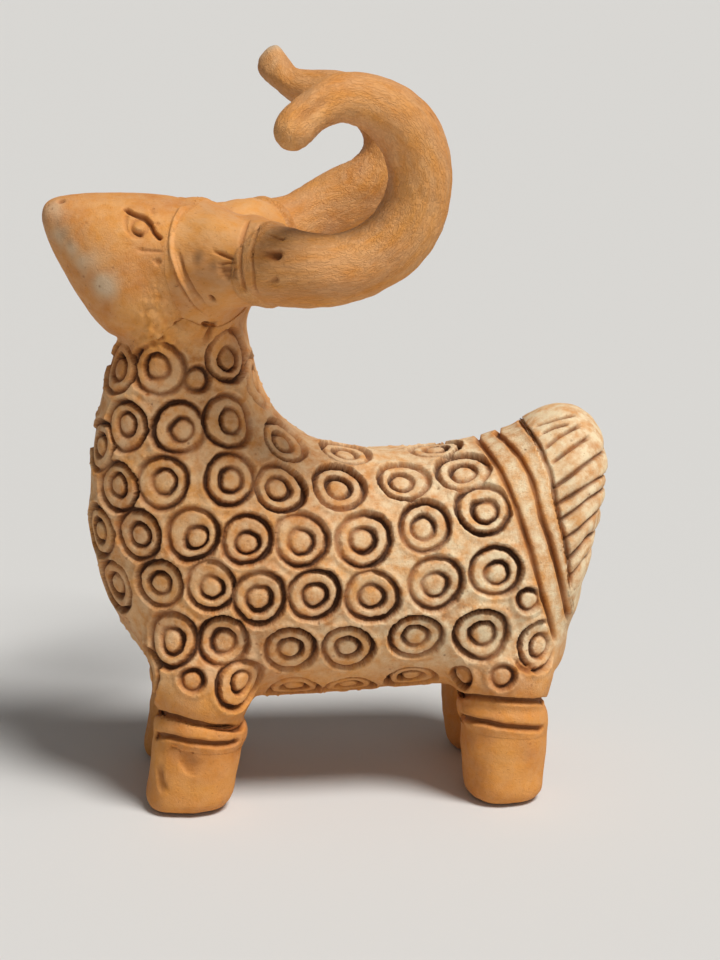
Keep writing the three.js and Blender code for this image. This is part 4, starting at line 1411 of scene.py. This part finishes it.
floor_mesh = bpy.data.meshes.new("floor")
floor_corners = [(x * FLOOR_HALF, y * FLOOR_HALF, 0) for x, y in ((-1, -1), (1, -1), (1, 1), (-1, 1))]
floor_mesh.from_pydata(floor_corners, [], [(0, 1, 2, 3)])
floor_mesh.materials.append(floor_material())
floor = bpy.data.objects.new("floor", floor_mesh)
floor.location.z = -FLOOR_DROP
bpy.context.scene.collection.objects.link(floor)


def area_light(name, place, size, power):
    """A soft square lamp that faces the figurine."""
    data = bpy.data.lights.new(name, "AREA")
    data.size = size
    data.energy = power
    lamp = bpy.data.objects.new(name, data)
    lamp.location = place
    lamp.rotation_euler = (Vector(LAMP_TARGET) - Vector(place)).to_track_quat("-Z", "Y").to_euler()
    bpy.context.scene.collection.objects.link(lamp)


def sun_light(name, direction, power, softness):
    """A distant soft lamp that shines from a direction."""
    data = bpy.data.lights.new(name, "SUN")
    data.energy = power
    data.angle = math.radians(softness)
    lamp = bpy.data.objects.new(name, data)
    lamp.rotation_euler = Vector(direction).to_track_quat("Z", "Y").to_euler()
    bpy.context.scene.collection.objects.link(lamp)


sun_light("key", KEY_DIRECTION, KEY_POWER, KEY_SOFTNESS)
area_light("fill", FILL_PLACE, FILL_SIZE, FILL_POWER)
world = bpy.data.worlds.new("studio")
world.use_nodes = True
nodes, links = world.node_tree.nodes, world.node_tree.links
studio = nodes["Background"]
studio.inputs["Color"].default_value = STUDIO_COLOUR
studio.inputs["Strength"].default_value = STUDIO_STRENGTH
backdrop = nodes.new("ShaderNodeBackground")
backdrop.inputs["Color"].default_value = BACKDROP_COLOUR
path = nodes.new("ShaderNodeLightPath")
shown = path.outputs["Is Camera Ray"]
for ray in ("Is Glossy Ray", "Is Transmission Ray"):
    larger = nodes.new("ShaderNodeMath")
    larger.operation = "MAXIMUM"
    links.new(shown, larger.inputs[0])
    links.new(path.outputs[ray], larger.inputs[1])
    shown = larger.outputs[0]
either = nodes.new("ShaderNodeMixShader")
links.new(shown, either.inputs[0])
links.new(studio.outputs[0], either.inputs[1])
links.new(backdrop.outputs[0], either.inputs[2])
links.new(either.outputs[0], nodes["World Output"].inputs[0])
bpy.context.scene.world = world

camera = bpy.data.objects.new("camera", bpy.data.cameras.new("camera"))
camera.data.sensor_width = SENSOR_WIDTH
camera.data.lens = FOCAL_PIXELS / PHOTO_HEIGHT * SENSOR_WIDTH
ahead = sight(PHOTO_WIDTH / 2, PHOTO_HEIGHT / 2)
beside = np.cross(ahead, UP)
beside /= np.linalg.norm(beside)
above = np.cross(beside, ahead)
turn = Matrix((beside, above, -ahead)).transposed().to_4x4()
camera.matrix_world = Matrix.Translation(Vector(EYE * MM)) @ turn
bpy.context.scene.collection.objects.link(camera)
bpy.context.scene.camera = camera
bpy.context.scene.view_settings.view_transform = "Standard"
